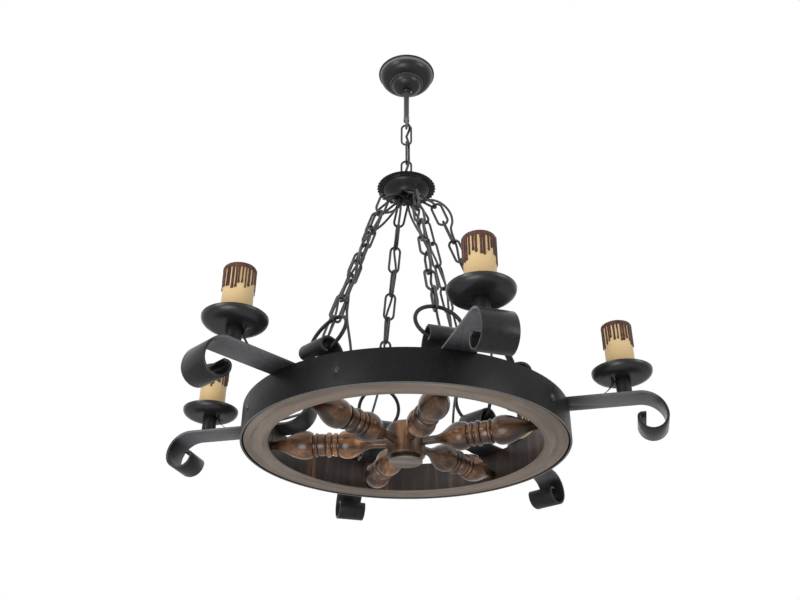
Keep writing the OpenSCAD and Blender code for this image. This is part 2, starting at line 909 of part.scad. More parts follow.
module holder_nipples() {
    color(bright)
        for (k = [1 : 6])
            at_candle(k)
                translate([0, 0, tray_z - nipple_in_post])
                    difference() {
                        cylinder(h = nipple_in_post + tray_t + nipple_in_holder, r = nipple_r);
                        translate([0, 0, -1])
                            cylinder(h = nipple_in_post + tray_t + nipple_in_holder + 2, r = nipple_bore_r);
                    }
}

module lamp_holders() {
    inside_r = holder_d / 2 - 1.1;
    shell_h = holder_top - socket_depth - tray_floor - 2.5 * holder_floor;
    color(black)
        for (k = [1 : 6])
            at_candle(k)
                difference() {
                    translate([0, 0, tray_floor])
                        cylinder(h = holder_top - tray_floor, d = holder_d);
                    translate([0, 0, holder_top - socket_depth])
                        cylinder(h = socket_depth + 1, d = socket_d);
                    translate([0, 0, tray_floor + holder_floor])
                        cylinder(h = shell_h, r = inside_r);
                    translate([0, 0, tray_floor - 1])
                        cylinder(h = holder_floor + 2, r = nipple_r + seat_play);
                    translate([-cable_r, 0, tray_floor - 1])
                        cylinder(h = holder_floor + 2, r = cable_hole_r, $fn = 24);
                }
}

module candle_sleeve(k) {
    out_r = sleeve_d / 2;
    in_r = out_r - sleeve_wall;
    round_x = out_r - lip_round;
    round_z = sleeve_h - lip_round;
    color(cream)
        at_candle(k)
            translate([0, 0, sleeve_z])
                rotate_extrude($fn = 72)
                    polygon(concat(
                        [[in_r, 0], [out_r, 0]],
                        [
                            for (a = [0 : 10 : 90])
                                [round_x + lip_round * cos(a), round_z + lip_round * sin(a)]
                        ],
                        [[sleeve_lip_r, sleeve_h], [sleeve_lip_r, sleeve_h - 3]],
                        [[in_r, sleeve_h - 3 - sleeve_wall]]
                    ));
}

// ---- Flexes ----

module main_flex() {
    top_z = -bracket_t - nut_h - 1.5;
    start = [
        [13, 0, top_z], [11, 0, top_z - 0.3], [8.3, 0, top_z - 3.7], [5, 0, slot_top - 3],
        [1.7, 0, slot_top - 9.5], [0, 0, slot_top - slot_len], [0, 0, slot_top - slot_len - 20],
        [0, 0, 6 - rod_len], [0.3, 0.1, eye_z + 2.5], [1.8, 0.8, eye_z + 0.4],
        [4.2, 2.2, eye_z - 2], [5.3, 3.9, eye_z - 5], [5, 4.1, eye_z - 9], [3.4, 4, eye_z - 14]
    ];
    woven = [
        for (x = [0.5 : 0.25 : 2.75])
            let (at = weave(x, 135, main_off))
                [at[0], at[1], upper_mid_z + pitch / 2 - x * pitch]
    ];
    finish = [
        [-4.9, -3.9, crown_eye_z + 3], [-7.4, -3.6, crown_eye_z - 3.5],
        [flex_hole[0], flex_hole[1], plate_top + 1], [flex_hole[0], flex_hole[1], roof_bottom - 5]
    ];
    color(black)
        tube(concat(start, woven, finish), main_flex_d, [0, 1, 0.01]);
}

// The branch flex's place beside the chain, x pitches past the middle of link 2
function beside_chain(x, start) =
    let (at = weave(x, start, branch_off), p = second_mid + (x - 0.5) * pitch * hang_dir)
        [p[0] + at[1] * out_dir[0], at[0], p[1] + at[1] * out_dir[1]];

module branch_flex(k) {
    bowed = k == 2;
    from_hooks = [for (p = bowed ? bowed_start : inner_start) [p[0], p[1], p[2] + hook_z]];
    along_chain = [
        for (x = bowed ? [2 : 0.25 : 6.25] : [1 : 0.25 : 5.5]) beside_chain(x, bowed ? 225 : 45)
    ];
    leave = bowed ? flex_end : concat([flex_leave], flex_end);
    down = [for (p = leave) [p[0], p[1], p[2] + wheel_z]];
    on_bar = [for (p = flex_on_bar) [p[0], p[1], p[2] + flex_z + wheel_z]];
    rise_x = candle_r - cable_r;
    rise = [
        [rise_x - 2.4, 0, flex_z + 3.6 + wheel_z], [rise_x, 0, bar_top + 0.6 * post_h + wheel_z],
        [rise_x, 0, tray_z + wheel_z], [rise_x, 0, tray_floor + nipple_in_holder + wheel_z]
    ];
    color(black)
        on_arm(k)
            tube(
                concat(but_last(through(concat(from_hooks, [along_chain[0]]), 2)), along_chain,
                    through(concat(down, on_bar, rise), 2)),
                branch_flex_d, [0, 1, 0.01]
            );
}

bracket_in_place();  // ceiling_bracket
hanger_rod();
lock_nut();
terminal_block();
canopy();
canopy_collar();
collar_screw();
upper_link(1);  // chain_link_upper
upper_link(2);  // chain_link_middle
upper_link(3);  // chain_link_lower
crown_eye();
crown_plate();
crown_cup();
chain_spider();
crown_nut();
main_flex();
iron_band();
wooden_rim();
hub();
spoke(1);  // spoke_1
spoke(2);  // spoke_2
spoke(3);  // spoke_3
spoke(4);  // spoke_4
spoke(5);  // spoke_5
spoke(6);  // spoke_6
arm(1);  // arm_1
arm(2);  // arm_2
arm(3);  // arm_3
arm(4);  // arm_4
arm(5);  // arm_5
arm(6);  // arm_6
branch_chain(1);  // chain_1
branch_chain(2);  // chain_2
branch_chain(3);  // chain_3
branch_chain(4);  // chain_4
branch_chain(5);  // chain_5
branch_chain(6);  // chain_6
hanging_rings();
arm_posts();
drip_tray(1);  // drip_tray_1
drip_tray(2);  // drip_tray_2
drip_tray(3);  // drip_tray_3
drip_tray(4);  // drip_tray_4
drip_tray(5);  // drip_tray_5
drip_tray(6);  // drip_tray_6
holder_nipples();
lamp_holders();
candle_sleeve(1);  // candle_sleeve_1
candle_sleeve(2);  // candle_sleeve_2
candle_sleeve(3);  // candle_sleeve_3
candle_sleeve(4);  // candle_sleeve_4
candle_sleeve(5);  // candle_sleeve_5
candle_sleeve(6);  // candle_sleeve_6
branch_flex(1);  // branch_flex_1
branch_flex(2);  // branch_flex_2
branch_flex(3);  // branch_flex_3
branch_flex(4);  // branch_flex_4
branch_flex(5);  // branch_flex_5
branch_flex(6);  // branch_flex_6
wheel_screws();
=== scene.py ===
"""Looks of the wagon wheel chandelier, laid over its packed CAD frame.

Lengths are in metres in the CAD frame: the origin is the ceiling fitting and the wheel hangs below it.
"""

import json
import math
import random

import bmesh
import bpy
from bpy.props import FloatProperty, FloatVectorProperty, IntProperty, PointerProperty
from mathutils import Matrix, Vector


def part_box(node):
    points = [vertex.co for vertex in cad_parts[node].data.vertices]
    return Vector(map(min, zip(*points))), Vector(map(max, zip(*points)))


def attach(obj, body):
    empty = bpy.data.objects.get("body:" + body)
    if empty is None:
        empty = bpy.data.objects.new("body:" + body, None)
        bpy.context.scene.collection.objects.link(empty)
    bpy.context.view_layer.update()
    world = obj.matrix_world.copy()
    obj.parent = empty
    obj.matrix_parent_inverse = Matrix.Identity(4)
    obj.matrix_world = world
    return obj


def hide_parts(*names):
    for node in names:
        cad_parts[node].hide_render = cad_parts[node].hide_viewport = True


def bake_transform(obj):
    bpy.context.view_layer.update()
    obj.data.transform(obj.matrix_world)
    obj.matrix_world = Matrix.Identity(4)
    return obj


bl_info = {
    "name": "Wagon wheel chandelier",
    "version": (1, 0, 0),
    "blender": (4, 5, 0),
    "location": "View3D > Sidebar > Chandelier",
    "description": "Dresses the wagon wheel chandelier's CAD frame with its finishes",
    "category": "Object",
}

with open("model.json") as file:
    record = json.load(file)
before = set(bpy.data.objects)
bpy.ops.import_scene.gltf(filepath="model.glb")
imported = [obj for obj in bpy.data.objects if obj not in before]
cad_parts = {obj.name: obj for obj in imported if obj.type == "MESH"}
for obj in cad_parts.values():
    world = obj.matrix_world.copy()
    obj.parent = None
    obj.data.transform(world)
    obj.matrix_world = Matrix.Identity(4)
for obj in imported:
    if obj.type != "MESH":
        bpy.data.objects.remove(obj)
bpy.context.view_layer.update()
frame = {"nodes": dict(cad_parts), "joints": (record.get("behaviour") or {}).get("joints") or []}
NODES = frame["nodes"]
MM = 0.001
TURN = 2 * math.pi

ARMS = range(1, 7)
ARM_BEARING = 16.5
SPOKE_BEARINGS = (14.5, 68, 136, 197.5, 266.5, 321)
SPOKE_PAINTED_LIGHT = (1.0, 1.05, 1.05, 1.25, 1.7, 0.85)  # painted light: how much lighter each spoke is painted, by how much light from the left falls on it
WHEEL_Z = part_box("iron_band")[0].z
WHEEL_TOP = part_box("iron_band")[1].z
WHEEL_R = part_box("iron_band")[1].x
RIM_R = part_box("wooden_rim")[1].x
RIM_W = 32 * MM
RIM_IN = RIM_R - RIM_W
HUB_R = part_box("hub")[1].x
SPOKE_LIFT = 9 * MM
SPOKE_Z = WHEEL_Z + SPOKE_LIFT
BAR_T = 3 * MM
BAR_TOP = WHEEL_TOP + BAR_T
UP = Vector((0, 0, 1))
PIVOTS = {j["name"]: j for j in frame["joints"]}


def direction(bearing):
    """The way a bearing points, anticlockwise from the front."""
    turn = math.radians(bearing)
    return Vector((math.sin(turn), -math.cos(turn), 0))


def arm_bearing(k):
    return ARM_BEARING + 60 * (k - 1)


def middle(node):
    low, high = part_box(node)
    return (low + high) / 2


# ---- Sizes and colours that a user would change ----


class StageSettings(bpy.types.PropertyGroup):
    """Light and camera."""

    ambient: FloatProperty(name="Ambient", description="Strength of the even light", default=0.62, min=0)
    key_power: FloatProperty(
        name="Key lamp", description="Power of the lamp at the left", default=21, unit="POWER"
    )
    side_power: FloatProperty(
        name="Side lamp", description="Power of the lamp at the right", default=13, unit="POWER"
    )
    fill_power: FloatProperty(
        name="Fill lamp", description="Power of the low lamp", default=20, unit="POWER"
    )
    floor_drop: FloatProperty(
        name="Floor", description="Depth of the floor below the ceiling", default=2.35, unit="LENGTH"
    )
    floor_tone: FloatVectorProperty(
        name="Floor tone", description="Colour of the floor",
        default=(0.8, 0.8, 0.8), subtype="COLOR", min=0, max=1,
    )


class IronSettings(bpy.types.PropertyGroup):
    """Black paint on the ironwork."""

    black: FloatVectorProperty(
        name="Black", description="Colour of the paint", default=(0.012, 0.012, 0.013), subtype="COLOR"
    )
    worn: FloatVectorProperty(
        name="Worn grey", description="Colour where the paint is rubbed",
        default=(0.07, 0.07, 0.072), subtype="COLOR",
    )
    edge: FloatProperty(
        name="Edge round", description="Rounding of the flat bar's edges", default=0.5 * MM, unit="LENGTH"
    )


class WoodSettings(bpy.types.PropertyGroup):
    """Stained wood."""

    dark: FloatVectorProperty(
        name="Dark stain", description="Colour in the grain's dark lines",
        default=(0.016, 0.006, 0.0025), subtype="COLOR",
    )
    body: FloatVectorProperty(
        name="Stain", description="Colour of the turned wood", default=(0.15, 0.066, 0.025), subtype="COLOR"
    )
    light: FloatVectorProperty(
        name="Light stain", description="Colour where the stain is thin",
        default=(0.45, 0.2, 0.065), subtype="COLOR",
    )
    # Painted light: the rim's underside is painted in this paler colour where light from below falls on it,
    # while its wall is painted dark as shade.
    rim: FloatVectorProperty(
        name="Rim", description="Colour of the rim's plain underside",
        default=(0.212, 0.167, 0.134), subtype="COLOR",
    )


class CandleSettings(bpy.types.PropertyGroup):
    """Candle sleeves and their wax."""

    cream: FloatVectorProperty(
        name="Sleeve", description="Colour of the sleeves", default=(0.65, 0.485, 0.258), subtype="COLOR"
    )
    wax: FloatVectorProperty(
        name="Wax", description="Colour of the dark drips", default=(0.052, 0.018, 0.01), subtype="COLOR"
    )
    rivulets: IntProperty(name="Rivulets", description="Number of drips round a sleeve", default=28, min=8)
    sleeve_r: FloatProperty(
        name="Sleeve radius", description="Radius of the sleeve below its drips",
        default=17.9 * MM, unit="LENGTH",
    )
    wax_t: FloatProperty(
        name="Wax thickness", description="How far the drips stand out", default=1.75 * MM, unit="LENGTH"
    )


# ---- Shader nodes ----


class Tree:
    """Places shader nodes in one tree and links them."""

    def __init__(self, tree):
        self.tree = tree

    def put(self, kind, inputs=None, **settings):
        node = self.tree.nodes.new("ShaderNode" + kind)
        for name, value in settings.items():
            setattr(node, name, value)
        for socket, value in (inputs or {}).items():
            self.feed(node.inputs[socket], value)
        return node

    def feed(self, socket, value):
        if isinstance(value, bpy.types.NodeSocket):
            self.tree.links.new(value, socket)
        else:
            socket.default_value = colour(value) if socket.type == "RGBA" else value

    def coordinates(self):
        return self.put("TexCoord").outputs["Object"]

    def place(self, vector, location=(0, 0, 0), rotation=(0, 0, 0), scale=(1, 1, 1), kind="POINT"):
        turn = [math.radians(a) for a in rotation]
        inputs = {"Vector": vector, "Location": location, "Rotation": turn, "Scale": scale}
        return self.put("Mapping", inputs, vector_type=kind).outputs[0]

    def noise(self, vector, scale, detail=4.0, roughness=0.55, distortion=0.0):
        inputs = {
            "Vector": vector, "Scale": scale, "Detail": detail,
            "Roughness": roughness, "Distortion": distortion,
        }
        return self.put("TexNoise", inputs).outputs["Fac"]

    def math(self, operation, a, b=0.0, clamp=False):
        return self.put("Math", {0: a, 1: b}, operation=operation, use_clamp=clamp).outputs[0]

    def length(self, x, y):
        """How far a point with these two coordinates lies from their common axis."""
        return self.math("SQRT", self.math("ADD", self.math("MULTIPLY", x, x), self.math("MULTIPLY", y, y)))

    def blend(self, factor, a, b):
        return self.put("Mix", {0: factor, 6: a, 7: b}, data_type="RGBA").outputs[2]

    def between(self, value, low, high, to_low=0.0, to_high=1.0):
        inputs = {"Value": value, "From Min": low, "From Max": high, "To Min": to_low, "To Max": to_high}
        return self.put("MapRange", inputs, interpolation_type="SMOOTHSTEP").outputs[0]

    def parts(self, vector):
        return self.put("SeparateXYZ", {0: vector}).outputs

    def joined(self, x, y, z):
        return self.put("CombineXYZ", {0: x, 1: y, 2: z}).outputs[0]

    def bump(self, height, distance):
        return self.put("Bump", {"Height": height, "Distance": distance}).outputs[0]

    def group(self, made, inputs):
        node = self.put("Group", node_tree=made)
        for socket, value in inputs.items():
            self.feed(node.inputs[socket], value)
        return node.outputs


def colour(value):
    if isinstance(value, (int, float)):
        return (value, value, value, 1)
    return tuple(value)[:3] + (1,)


def shade(tone, share):
    """A colour made darker or lighter."""
    return [share * c for c in tone]


FINISH = [("Color", "Color"), ("Roughness", "Float"), ("Height", "Float")]


def new_group(name, inputs):
    """An empty shader group that puts out a finish, and its tree, inputs and output node."""
    made = bpy.data.node_groups.new(name, "ShaderNodeTree")
    for socket, kind, value in inputs:
        entry = made.interface.new_socket(socket, in_out="INPUT", socket_type="NodeSocket" + kind)
        if value is not None:
            entry.default_value = colour(value) if kind == "Color" else value
    for socket, kind in FINISH:
        made.interface.new_socket(socket, in_out="OUTPUT", socket_type="NodeSocket" + kind)
    tree = Tree(made)
    given = made.nodes.new("NodeGroupInput")
    out = made.nodes.new("NodeGroupOutput")
    return made, tree, given.outputs, out.inputs


def worn_iron():
    """Satin black paint over iron: rubbed patches, fine specks and a slightly uneven coat."""
    if "worn_iron" in bpy.data.node_groups:
        return bpy.data.node_groups["worn_iron"]
    made, t, given, out = new_group(
        "worn_iron",
        [
            ("Vector", "Vector", None), ("Paint", "Color", 0.02), ("Worn", "Color", 0.07),
            ("Scale", "Float", 30.0), ("Wear", "Float", 0.4), ("Gloss", "Float", 0.35),
        ],
    )
    fine_scale = t.math("MULTIPLY", given["Scale"], 14.0)
    broad = t.noise(given["Vector"], given["Scale"], 5.0, 0.6, 0.4)
    fine = t.noise(given["Vector"], fine_scale, 3.0, 0.6)
    specks = t.between(t.noise(given["Vector"], t.math("MULTIPLY", given["Scale"], 30.0), 2.0), 0.66, 0.74)
    patch = t.between(broad, t.math("SUBTRACT", 0.78, t.math("MULTIPLY", given["Wear"], 0.4)), 0.85)
    wear_and_highlight = t.math("MAXIMUM", t.math("MULTIPLY", patch, 0.7), t.math("MULTIPLY", specks, given["Wear"]))
    uneven = t.blend(t.between(fine, 0.3, 0.7), t.blend(0.25, given["Paint"], 0.0), given["Paint"])
    t.feed(out["Color"], t.blend(wear_and_highlight, uneven, given["Worn"]))
    rough = t.math("ADD", given["Gloss"], t.between(broad, 0.2, 0.8, -0.07, 0.09))
    t.feed(out["Roughness"], t.math("ADD", rough, t.between(fine, 0.3, 0.7, -0.03, 0.05), True))
    t.feed(out["Height"], t.math("ADD", t.math("MULTIPLY", fine, 0.35), t.math("MULTIPLY", broad, 0.65)))
    return made


def wood_grain():
    """Stained wood whose grain runs along X."""
    if "wood_grain" in bpy.data.node_groups:
        return bpy.data.node_groups["wood_grain"]
    made, t, given, out = new_group(
        "wood_grain",
        [
            ("Vector", "Vector", None), ("Dark", "Color", 0.01), ("Body", "Color", 0.1),
            ("Light", "Color", 0.2), ("Blotch", "Float", 0.5), ("Gloss", "Float", 0.35),
        ],
    )
    wander = t.put("TexNoise", {"Vector": given["Vector"], "Scale": 9.0, "Detail": 2.0}).outputs["Color"]
    wander = t.put("VectorMath", {0: wander, 1: (0.012,) * 3}, operation="MULTIPLY").outputs[0]
    warped = t.put("VectorMath", {0: given["Vector"], 1: wander}, operation="ADD").outputs[0]
    along = t.place(warped, scale=(7, 70, 70))
    streaks = t.noise(along, 1.0, 7.0, 0.62)
    pores = t.between(t.noise(t.place(warped, scale=(28, 620, 620)), 1.0, 2.0), 0.6, 0.72)
    blotch = t.noise(given["Vector"], 26.0, 4.0, 0.6, 0.5)
    tone = t.blend(t.between(streaks, 0.36, 0.6), given["Dark"], given["Body"])
    stain_shade_and_sheen = t.math("MULTIPLY", t.between(streaks, 0.5, 0.72), t.between(blotch, 0.42, 0.66))
    tone = t.blend(stain_shade_and_sheen, tone, given["Light"])
    deep = t.math("MULTIPLY", t.between(blotch, 0.56, 0.36), given["Blotch"])
    tone = t.blend(deep, tone, given["Dark"])
    tone = t.blend(t.math("MULTIPLY", pores, 0.55), tone, given["Dark"])
    t.feed(out["Color"], tone)
    rough = t.math("ADD", given["Gloss"], t.between(blotch, 0.3, 0.7, 0.08, -0.05))
    t.feed(out["Roughness"], t.math("ADD", rough, t.math("MULTIPLY", pores, 0.2), True))
    raised, sunk = t.math("MULTIPLY", streaks, 0.5), t.math("MULTIPLY", pores, 0.5)
    t.feed(out["Height"], t.math("SUBTRACT", raised, sunk))
    return made


def finish_material(name, metallic=0.0, specular=0.5, coat=0.0, coat_roughness=0.1, diffuse=0.2):
    """An empty material, its tree and its Principled shader."""
    made = bpy.data.materials.new(name)
    made.use_nodes = True
    made.diffuse_color = (diffuse, diffuse, diffuse, 1)
    shader = made.node_tree.nodes["Principled BSDF"]
    shader.inputs["Metallic"].default_value = metallic
    shader.inputs["Specular IOR Level"].default_value = specular
    shader.inputs["Coat Weight"].default_value = coat
    shader.inputs["Coat Roughness"].default_value = coat_roughness
    return made, Tree(made.node_tree), shader.inputs


def dress(t, shader, tone, roughness, height, depth):
    """Feeds a colour, a roughness and a bump of some depth into a shader."""
    t.feed(shader["Base Color"], tone)
    t.feed(shader["Roughness"], roughness)
    t.feed(shader["Normal"], t.bump(height, depth))


def paint_input(made):
    """The paint socket of an iron finish, for a paint that varies from place to place; the canopy, band and
    bars take their painted highlights, sheen and shade through it.
    """
    return next(n for n in made.node_tree.nodes if n.type == "GROUP").inputs["Paint"]


def iron(name, paint, scale, wear, gloss, bump, specular):
    """Black ironwork; paint lightens or darkens the black."""
    settings = bpy.context.scene.chandelier_iron
    made, t, shader = finish_material(name, specular=specular, diffuse=0.03)
    finish = t.group(worn_iron(), {
        "Vector": t.place(t.coordinates()),
        "Paint": shade(settings.black, paint),
        "Worn": settings.worn, "Scale": scale, "Wear": wear, "Gloss": gloss,
    })
    dress(t, shader, finish["Color"], finish["Roughness"], finish["Height"], bump)
    return made


# ---- Meshes ----


def smooth(mesh, angle=35):
    mesh.shade_smooth()
    mesh.set_sharp_from_angle(angle=math.radians(angle))


def piece(bm, name, body, material, angle=35, replaces=()):
    """Turns a bmesh into a piece that rides on a body, or on none if it belongs to the stage or bends."""
    mesh = bpy.data.meshes.new(name)
    bm.to_mesh(mesh)
    bm.free()
    smooth(mesh, angle)
    made = bpy.data.objects.new(name, mesh)
    bpy.context.scene.collection.objects.link(made)
    mesh.materials.append(material)
    if body:
        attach(made, body)
    if replaces:
        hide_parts(*replaces)
    return made


def cad_copy(node):
    """A bmesh of a CAD node with its doubles merged."""
    bm = bmesh.new()
    bm.from_mesh(NODES[node].data)
    bmesh.ops.remove_doubles(bm, verts=bm.verts, dist=2e-6)
    bmesh.ops.dissolve_degenerate(bm, edges=bm.edges, dist=1e-6)
    return bm


def round_edges(bm, width, angle=40, segments=2):
    """Bevels the edges sharper than an angle."""
    edges = [e for e in bm.edges if e.is_manifold and e.calc_face_angle(0) > math.radians(angle)]
    bmesh.ops.bevel(
        bm, geom=edges, offset=width, offset_type="OFFSET", affect="EDGES", segments=segments,
        profile=0.5, material=-1, clamp_overlap=True,
    )
    return bm


def join_flats(bm, angle=0.4):
    bmesh.ops.dissolve_limit(
        bm, angle_limit=math.radians(angle), verts=bm.verts, edges=bm.edges, use_dissolve_boundaries=False
    )
    return bm


def fatter(bm, by):
    """Moves every face outwards, which makes a wire thicker."""
    bm.normal_update()
    shifts = [(v, v.normal * by) for v in bm.verts]
    for v, shift in shifts:
        v.co += shift
    return bm


def turned(bm, profile, steps, centre=(0, 0, 0), closed=True):
    """Spins a profile of (radius, height) points round an upright axis."""
    made = [bm.verts.new(Vector(centre) + Vector((r, 0, z))) for r, z in profile]
    ends = made[1:] + made[:1] if closed else made[1:]
    edges = [bm.edges.new(pair) for pair in zip(made, ends)]
    bmesh.ops.spin(bm, geom=made + edges, cent=centre, axis=UP, angle=TURN, steps=steps, use_merge=True)
    bmesh.ops.remove_doubles(bm, verts=bm.verts, dist=1e-6)


def point_out(bm):
    bmesh.ops.recalc_face_normals(bm, faces=bm.faces)
    return bm


def add_to(bm, part):
    """Adds a finished part to a bmesh."""
    mesh = bpy.data.meshes.new("part")
    part.to_mesh(mesh)
    part.free()
    bm.from_mesh(mesh)
    bpy.data.meshes.remove(mesh)


def give(node, material):
    """A CAD node keeps its shape and gets a finish."""
    slots = NODES[node].data.materials
    slots.clear()
    slots.append(material)
    smooth(NODES[node].data)


class PieceOperator:
    """What every operator here shares."""

    bl_options = {"REGISTER", "UNDO"}

    def execute(self, context):
        self.build(context.scene)
        return {"FINISHED"}


# ---- Stage ----

FOCUS = 868.18
PICTURE_W = 800
EYE = Vector((0, -1.05806, -0.38547))
PITCH, YAW, ROLL = 0.520552, -0.008095, 0.005863
FLOOR_REACH = 60
LAMP_AIM = Vector((0, 0, WHEEL_Z + 0.1))
KEY_AT, KEY_SIZE = Vector((-1.7, -1.9, -0.1)), 1.1
SIDE_AT, SIDE_SIZE = Vector((1.9, -1.3, -0.2)), 1.1
FILL_AT, FILL_SIZE = Vector((-0.7, -1.6, -1.7)), 1.3


class CHANDELIER_OT_stage(PieceOperator, bpy.types.Operator):
    """Sets the camera, the light, the pale background and the floor"""

    bl_idname = "chandelier.stage"
    bl_label = "Stage"

    def build(self, scene):
        settings = scene.chandelier_stage
        scene.view_settings.view_transform = "Standard"
        self.camera(scene)
        self.background(scene, settings)
        self.lamp("key", settings.key_power, KEY_SIZE, KEY_AT)
        self.lamp("side", settings.side_power, SIDE_SIZE, SIDE_AT)
        self.lamp("fill", settings.fill_power, FILL_SIZE, FILL_AT)
        self.floor(settings)

    def camera(self, scene):
        data = bpy.data.cameras.new("camera")
        data.sensor_width = 36
        data.lens = FOCUS * data.sensor_width / PICTURE_W
        data.clip_start, data.clip_end = 0.01, 60
        ahead = Vector((math.sin(YAW) * math.cos(PITCH), math.cos(YAW) * math.cos(PITCH), math.sin(PITCH)))
        side = Vector((math.cos(YAW), -math.sin(YAW), 0))
        above = side.cross(ahead)
        turned_side = math.cos(ROLL) * side + math.sin(ROLL) * above
        turned_up = -math.sin(ROLL) * side + math.cos(ROLL) * above
        made = bpy.data.objects.new("camera", data)
        scene.collection.objects.link(made)
        axes = Matrix((turned_side, turned_up, -ahead)).transposed().to_4x4()
        made.matrix_world = Matrix.Translation(EYE + WHEEL_Z * UP) @ axes
        scene.camera = made

    def background(self, scene, settings):
        world = bpy.data.worlds.new("pale room")
        scene.world = world
        world.use_nodes = True
        t = Tree(world.node_tree)
        backdrop = world.node_tree.nodes["Background"]
        path = t.put("LightPath").outputs
        seen = t.math("MAXIMUM", path["Is Camera Ray"], path["Is Glossy Ray"])
        seen = t.math("MAXIMUM", seen, path["Is Transmission Ray"])
        t.feed(backdrop.inputs["Color"], 1.0)
        t.feed(backdrop.inputs["Strength"], t.between(seen, 0.0, 1.0, settings.ambient, 1.0))

    def lamp(self, name, power, size, place):
        data = bpy.data.lights.new(name, "AREA")
        data.shape, data.size, data.energy = "DISK", size, power
        made = bpy.data.objects.new(name, data)
        bpy.context.scene.collection.objects.link(made)
        made.location = place
        made.rotation_mode = "QUATERNION"
        made.rotation_quaternion = (LAMP_AIM - place).to_track_quat("-Z", "Y")

    def floor(self, settings):
        bm = bmesh.new()
        bmesh.ops.create_grid(bm, x_segments=1, y_segments=1, size=FLOOR_REACH)
        bmesh.ops.translate(bm, verts=bm.verts, vec=(0, 0, -settings.floor_drop))
        made, t, shader = finish_material("floor", specular=0.1, diffuse=0.8)
        shader["Roughness"].default_value = 0.8
        grain = t.noise(t.coordinates(), 3.0, 3.0)
        mottled = t.between(grain, 0.3, 0.7, 0.0, 0.06)
        t.feed(shader["Base Color"], t.blend(mottled, settings.floor_tone, 0.7))
        piece(bm, "floor", None, made)


# ---- Iron ----


class CHANDELIER_OT_ceiling_fitting(PieceOperator, bpy.types.Operator):
    """Finishes the bracket, rod, nut, terminal block, canopy and collar"""

    bl_idname = "chandelier.ceiling_fitting"
    bl_label = "Ceiling fitting"
    step_r = 26 * MM
    roll_in = 2.6 * MM

    def build(self, scene):
        canopy = self.canopy_finish()
        for node in ("canopy", "canopy_collar"):
            bm = round_edges(cad_copy(node), 0.5 * MM, 28)
            piece(bm, node + "_dressed", "canopy", canopy, 38, [node])
        rod, body = iron("rod_paint", 11, 40, 0.2, 0.36, 0.05 * MM, specular=0.5), "ceiling_fitting"
        piece(cad_copy("hanger_rod"), "hanger_rod_dressed", body, rod, 38, ["hanger_rod"])
        steel = self.zinc()
        bm = round_edges(join_flats(cad_copy("ceiling_bracket")), 0.4 * MM)
        piece(bm, "bracket_dressed", body, steel, 35, ["ceiling_bracket"])
        give("lock_nut", steel)
        give("collar_screw", steel)
        self.terminals()

    def canopy_finish(self):
        """Black paint with painted highlight lines along the ridge of the step and inside the rolled rim."""
        made = iron("canopy_paint", 1.5, 22, 0.05, 0.3, 0.02 * MM, specular=0.34)
        t = Tree(made.node_tree)
        x, y = t.parts(t.coordinates())[:2]
        radius = t.length(x, y)
        # Painted highlight: thin grey lines at the step's ridge and just inside the rolled rim, where the
        # light catches these edges.
        wear_and_highlight = 0.0
        for at in (self.step_r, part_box("canopy")[1].x - self.roll_in):
            off = t.math("ABSOLUTE", t.math("SUBTRACT", radius, at))
            wear_and_highlight = t.math("MAXIMUM", wear_and_highlight, t.between(off, 0.7 * MM, 0.2 * MM))
        black = bpy.context.scene.chandelier_iron.black
        t.feed(paint_input(made), t.blend(wear_and_highlight, shade(black, 1.5), shade(black, 13)))
        return made

    def zinc(self):
        made, t, shader = finish_material("zinc_plate", metallic=1.0, diffuse=0.5)
        at = t.coordinates()
        broad = t.noise(at, 60.0, 5.0, 0.65, 0.6)
        brushed = t.noise(t.place(at, scale=(60, 1500, 1500)), 1.0, 3.0)
        tone = t.blend(t.between(broad, 0.35, 0.65), (0.50, 0.50, 0.50), (0.62, 0.62, 0.60))
        lines = t.between(brushed, 0.6, 0.8, 0.0, 0.3)
        tone = t.blend(lines, tone, (0.36, 0.35, 0.33))
        dress(t, shader, tone, t.between(broad, 0.3, 0.7, 0.32, 0.46), brushed, 0.05 * MM)
        return made

    def terminals(self):
        made, t, shader = finish_material("terminal_plastic", specular=0.45, diffuse=0.7)
        grain = t.noise(t.coordinates(), 900.0, 3.0)
        tone = t.blend(t.between(grain, 0.3, 0.7), (0.62, 0.61, 0.57), (0.68, 0.67, 0.63))
        dress(t, shader, tone, t.between(grain, 0.3, 0.7, 0.42, 0.52), grain, 0.04 * MM)
        bm = round_edges(join_flats(cad_copy("terminal_block")), 0.7 * MM)
        piece(bm, "terminal_dressed", "ceiling_fitting", made, 35, ["terminal_block"])


class CHANDELIER_OT_chains(PieceOperator, bpy.types.Operator):
    """Thickens and finishes the three links and the six branch chains, and finishes the hanging rings"""

    bl_idname = "chandelier.chains"
    bl_label = "Chains and rings"
    link_extra = 0.1 * MM
    branch_extra = 0.3 * MM

    def build(self, scene):
        links = iron("chain_paint", 2.4, 55, 0.5, 0.28, 0.2 * MM, specular=0.5)
        for name in ("upper", "middle", "lower"):
            node = "chain_link_" + name
            bm = fatter(cad_copy(node), self.link_extra)
            piece(bm, node + "_dressed", name + "_link", links, 60, [node])
        for k in ARMS:
            node = f"chain_{k}"
            bm = fatter(cad_copy(node), self.branch_extra)
            piece(bm, node + "_dressed", "wheel", links, 60, [node])
        rings = iron("ring_paint", 1.0, 40, 0.35, 0.36, 0.2 * MM, specular=0.25)
        bm = cad_copy("hanging_rings")
        piece(bm, "rings_dressed", "wheel", rings, 60, ["hanging_rings"])


